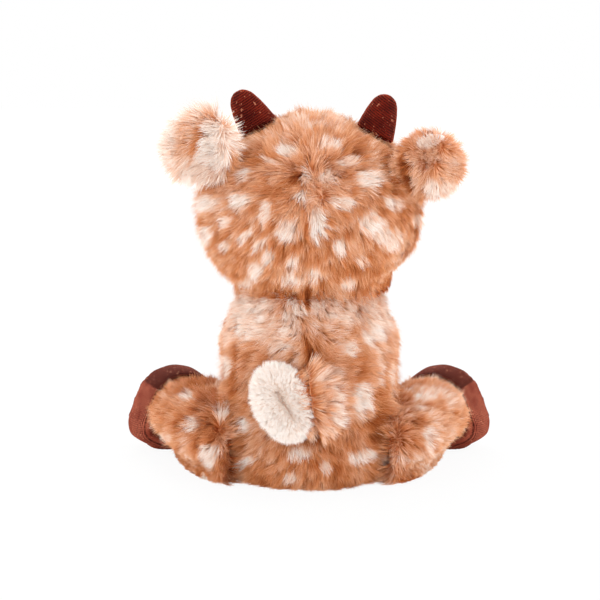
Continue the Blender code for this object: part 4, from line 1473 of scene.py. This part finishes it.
nose = bmesh.new()
bmesh.ops.create_icosphere(nose, subdivisions=4, radius=1.0)
for vert in nose.verts:
    x, y, z = vert.co
    narrow = 1 - NOSE_NARROWING * smooth_step(0.2, -1.0, z)
    for sign in SIDES.values():
        gap = (x - NOSTRIL_ACROSS * sign) ** 2 + (z + NOSTRIL_DOWN) ** 2
        if y > 0:
            y -= NOSTRIL_DEPTH * math.exp(-gap / NOSTRIL_SPREAD)
    wide, deep, high = NOSE_HALVES
    vert.co = Vector((x * narrow * wide, y * deep, z * high)) * MM
    if vert.co.y < 0:
        vert.co.y *= NOSE_BACK_SHARE
place = to_button("nose", "nose_washer", NOSE_HALVES[1] * MM, "Y", "Z")
bmesh.ops.transform(nose, matrix=place, verts=nose.verts)
nose_plastic = Shader("nose_plastic", Roughness=0.32, Specular_IOR_Level=0.3, Coat_Weight=0.1,
                      Coat_Roughness=0.1)
nose_plastic.colour(nose_plastic.mix(nose_plastic.noise(300.0), screen(38, 22, 20),
                                     screen(58, 34, 30)))
nose_plastic.bump(nose_plastic.noise(1500.0), 0.25, 0.2 * MM)
dress(finish_mesh("nose_button", nose), "head", "dark_plastic", nose_plastic, "nose")
print("nose", 2 * NOSE_HALVES[0], "mm across")

# %% [markdown]
# ## Horns and hooves
#
# Horns and hooves are of one red-brown velvet with fine ribs. On the horns it is painted darker,
# as painted shade, and on the hooves paler, as painted light, for how its nap catches the light
# there. Its nap catches the light at the edges, which sheen gives, and pale lint clings to it.
# The ribs run across each horn and are crossed by a weaker weave, so the material is given every
# point's height along the horn and its place round it.

# %% Ribbed velvet
RIB_PERIOD = 1.15 * MM
WEAVE_SHARE = 0.5


def velvet_look(name, deep, lit, valley_shade, sheen, panel_shade_share=0.0):
    """Ribbed velvet: painted shade in the rib valleys, along the stitched seams and on one panel,
    places of wear, and lint.
    """
    look = Shader(name, Roughness=0.85, Sheen_Weight=sheen, Sheen_Roughness=0.28,
                  Sheen_Tint=screen(232, 96, 48), Specular_IOR_Level=0.1)
    along, around, seam, panel = map(look.attribute, ("along", "around", "seam", "panel"))
    turns = math.tau / (RIB_PERIOD * 1000)
    rib = (along * turns + look.noise(220.0) * 2.6).maths("SINE")
    weave = (around * turns + look.noise(190.0) * 2.6).maths("SINE")
    rib = (rib + weave * WEAVE_SHARE).between(-1.0, 1.2)
    # Wear blends the deep and lit colours at random; on the shaded panel it stays near the deep
    # colour as painted shade.
    wear_and_panel_shade = look.noise(110.0, 5.0).between(0.25, 0.75) * (1 - panel * panel_shade_share)
    nap = look.noise(1100.0, 3.0).between(0.3, 0.7)
    lint = look.noise(620.0, 3.0).between(0.64, 0.70)
    cloth = look.mix(wear_and_panel_shade, deep, lit)
    # Painted shade in the valleys between the ribs, broken by the nap, and deeper on the shaded
    # panel.
    ribbed = look.mix((1 - rib) * (0.5 + nap * 0.5) + panel * (panel_shade_share * 0.45), cloth, valley_shade)
    linty = look.mix(lint * 0.55, ribbed, screen(214, 140, 108))
    # Painted shade along the seams.
    look.colour(look.mix(seam, linty, screen(30, 8, 6)))
    look.bump(rib * 0.6 + nap * 0.5, 0.6, 0.4 * MM)
    return look


SHADED_HORN_VELVET = velvet_look("shaded_horn_velvet", screen(84, 14, 6), screen(134, 38, 20),
                          screen(14, 2, 1), 1.0)
LIT_HOOF_VELVET = velvet_look("lit_hoof_velvet", screen(136, 56, 40), screen(186, 100, 76),
                          screen(30, 5, 3), 0.4, 0.9)

# %% Panels, seams and feet of velvet
SEAM_DEPTH = 0.55 * MM
SEAM_SWELL = 0.30 * MM
SEAM_HALF_WIDTH = 0.75 * MM
VELVET_SWELL = 0.5 * MM
SETTLE_HEIGHT = 28 * MM
SETTLE_SHARE = 0.50


def square_to(offsets, way):
    """The part of each offset that is square to an axis."""
    return offsets - np.outer(offsets @ way, way)


def sew(piece, middle, way, side_way):
    """Draws the cloth in along a seam and lets it swell beside it; returns where painted shade
    darkens the seam's groove.
    """
    offsets = square_to(places_of(piece) - middle, way)
    gaps = np.where(offsets @ side_way > 0,
                    lengths(square_to(offsets, side_way)), 1.0)
    line = np.exp(-(gaps / SEAM_HALF_WIDTH) ** 2)
    beside = np.exp(-((gaps - 2.6 * SEAM_HALF_WIDTH) / (1.5 * SEAM_HALF_WIDTH)) ** 2)
    moves = unit(offsets) * (SEAM_SWELL * beside - SEAM_DEPTH * line)[:, None]
    for vert, move in zip(piece.data.vertices, moves):
        vert.co += Vector(move)
    return 0.75 * np.exp(-(gaps / (0.55 * SEAM_HALF_WIDTH)) ** 2)


def settle(piece, middle, way):
    """Spreads a foot sideways where it rests on the floor."""
    aside = unit(np.cross(way, (0, 0, 1.0)))
    for vert in piece.data.vertices:
        low = smooth_step(SETTLE_HEIGHT, 0, vert.co.z)
        reach = (np.array(vert.co) - middle) @ aside
        vert.co += Vector(aside * reach * SETTLE_SHARE * low)


# %% Cover the horns and hooves
ROUND_FROM = (0.3, 0.9, 0.1)
HOOF_PANEL_SEAM = math.radians(49.0)


def velvet_piece(name, body, node, filling, way, look, voxel, rounds, seam_way=None,
                 rests=None):
    """A velvet form over a CAD node; seam_way says on which side its panels are joined."""
    piece = wrap(name, [node], voxel * MM, rounds, -VELVET_SWELL, [FLOOR_FLAT])
    middle, way = centre_of(node), np.array(way)
    if rests is not None:
        settle(piece, middle, rests)
    if filling:
        clear_of(piece, filling)
    seams = panels = np.zeros(len(piece.data.vertices))
    if seam_way is not None:
        side_way = unit(seam_way - way * (seam_way @ way))
        seams = sew(piece, middle, way, side_way)
        offsets = unit(square_to(places_of(piece) - middle, way))
        # One panel, on one side of the seam, is marked for painted shade.
        panels = smooth_step(-0.03, 0.03, offsets @ np.cross(way, side_way) * np.sign(way[0]))
    above_floor(piece)
    piece.data.update()
    offsets = places_of(piece) - middle
    heights = offsets @ way * 1000
    radii = square_to(offsets, way)
    first = unit(np.cross(way, ROUND_FROM))
    turn = np.arctan2(radii @ np.cross(way, first), radii @ first)
    arcs = turn * lengths(radii).max() * 1000
    for label, values in (("along", heights), ("around", arcs), ("seam", seams), ("panel", panels)):
        attribute = piece.data.attributes.new(label, "FLOAT", "POINT")
        attribute.data.foreach_set("value", values)
    dress(piece, body, "red_brown_velvet", look, node)
    return piece


for side, sign in SIDES.items():
    velvet_piece(f"shaded_horn_velvet_{side}", "head", f"horn_cover_{side}", f"horn_filling_{side}",
                 HORN_AXES[side], SHADED_HORN_VELVET, 0.7, 4, np.array((0, -1.0, 0)))
    panel_way = np.array((sign * math.cos(HOOF_PANEL_SEAM), 0.4, math.sin(HOOF_PANEL_SEAM)))
    velvet_piece(f"hind_hoof_velvet_{side}", f"hind_leg_{side}", f"hind_leg_hoof_{side}",
                 None, HIND_WAYS[side], LIT_HOOF_VELVET, 0.8, 40, panel_way, HIND_WAYS[side])
    velvet_piece(f"hind_sole_velvet_{side}", f"hind_leg_{side}", f"hind_leg_sole_{side}",
                 None, (0, 0, 1), LIT_HOOF_VELVET, 0.8, 3, rests=HIND_WAYS[side])
    velvet_piece(f"front_hoof_velvet_{side}", f"front_leg_{side}", f"front_leg_hoof_{side}",
                 None, FRONT_WAYS[side], LIT_HOOF_VELVET, 0.8, 3, np.array((sign, 0, 0.0)))
    velvet_piece(f"front_sole_velvet_{side}", f"front_leg_{side}", f"front_leg_sole_{side}",
                 None, (1, 0, 0), LIT_HOOF_VELVET, 0.8, 2)
print(5 * len(SIDES), "pieces of velvet")

# %% [markdown]
# ## What lies inside
#
# The fillings, washers and the bead pouch can't be seen, but the model can be taken apart, so
# they have finishes of their own.

# %% Inner parts
fibre = Shader("polyester_fibre", Roughness=0.9, Sheen_Weight=0.5)
fluff = fibre.noise(180.0, 6.0)
fibre.colour(fibre.mix(fluff, screen(226, 226, 228), screen(252, 252, 252)))
fibre.bump(fluff, 0.8, 1.5 * MM)
washer_look = Shader("washer_plastic", Roughness=0.35)
washer_look.colour(washer_look.mix(washer_look.noise(400.0), screen(228, 228, 222),
                                   screen(240, 240, 236)))
pouch_look = Shader("bead_pouch_cloth", Roughness=0.85)
weave = pouch_look.noise(900.0)
beads = pouch_look.noise(260.0)
pouch_look.colour(pouch_look.mix(beads, screen(196, 194, 188), screen(228, 226, 220)))
pouch_look.bump(beads + weave * 0.4, 0.7, 0.8 * MM)

INNER_LOOKS = {"filling": fibre, "wadding": fibre, "washer": washer_look, "pouch": pouch_look}
for name, node in NODES.items():
    for word, look in INNER_LOOKS.items():
        if word in name:
            node.data.materials.clear()
            node.data.materials.append(look.material)
print(len(INNER_LOOKS), "kinds of inner part")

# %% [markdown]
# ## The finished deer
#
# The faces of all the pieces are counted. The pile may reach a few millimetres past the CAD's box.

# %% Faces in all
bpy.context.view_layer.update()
faces = sum(len(o.data.polygons) for o in bpy.data.objects if o.type == "MESH")
print("faces in all:", faces)
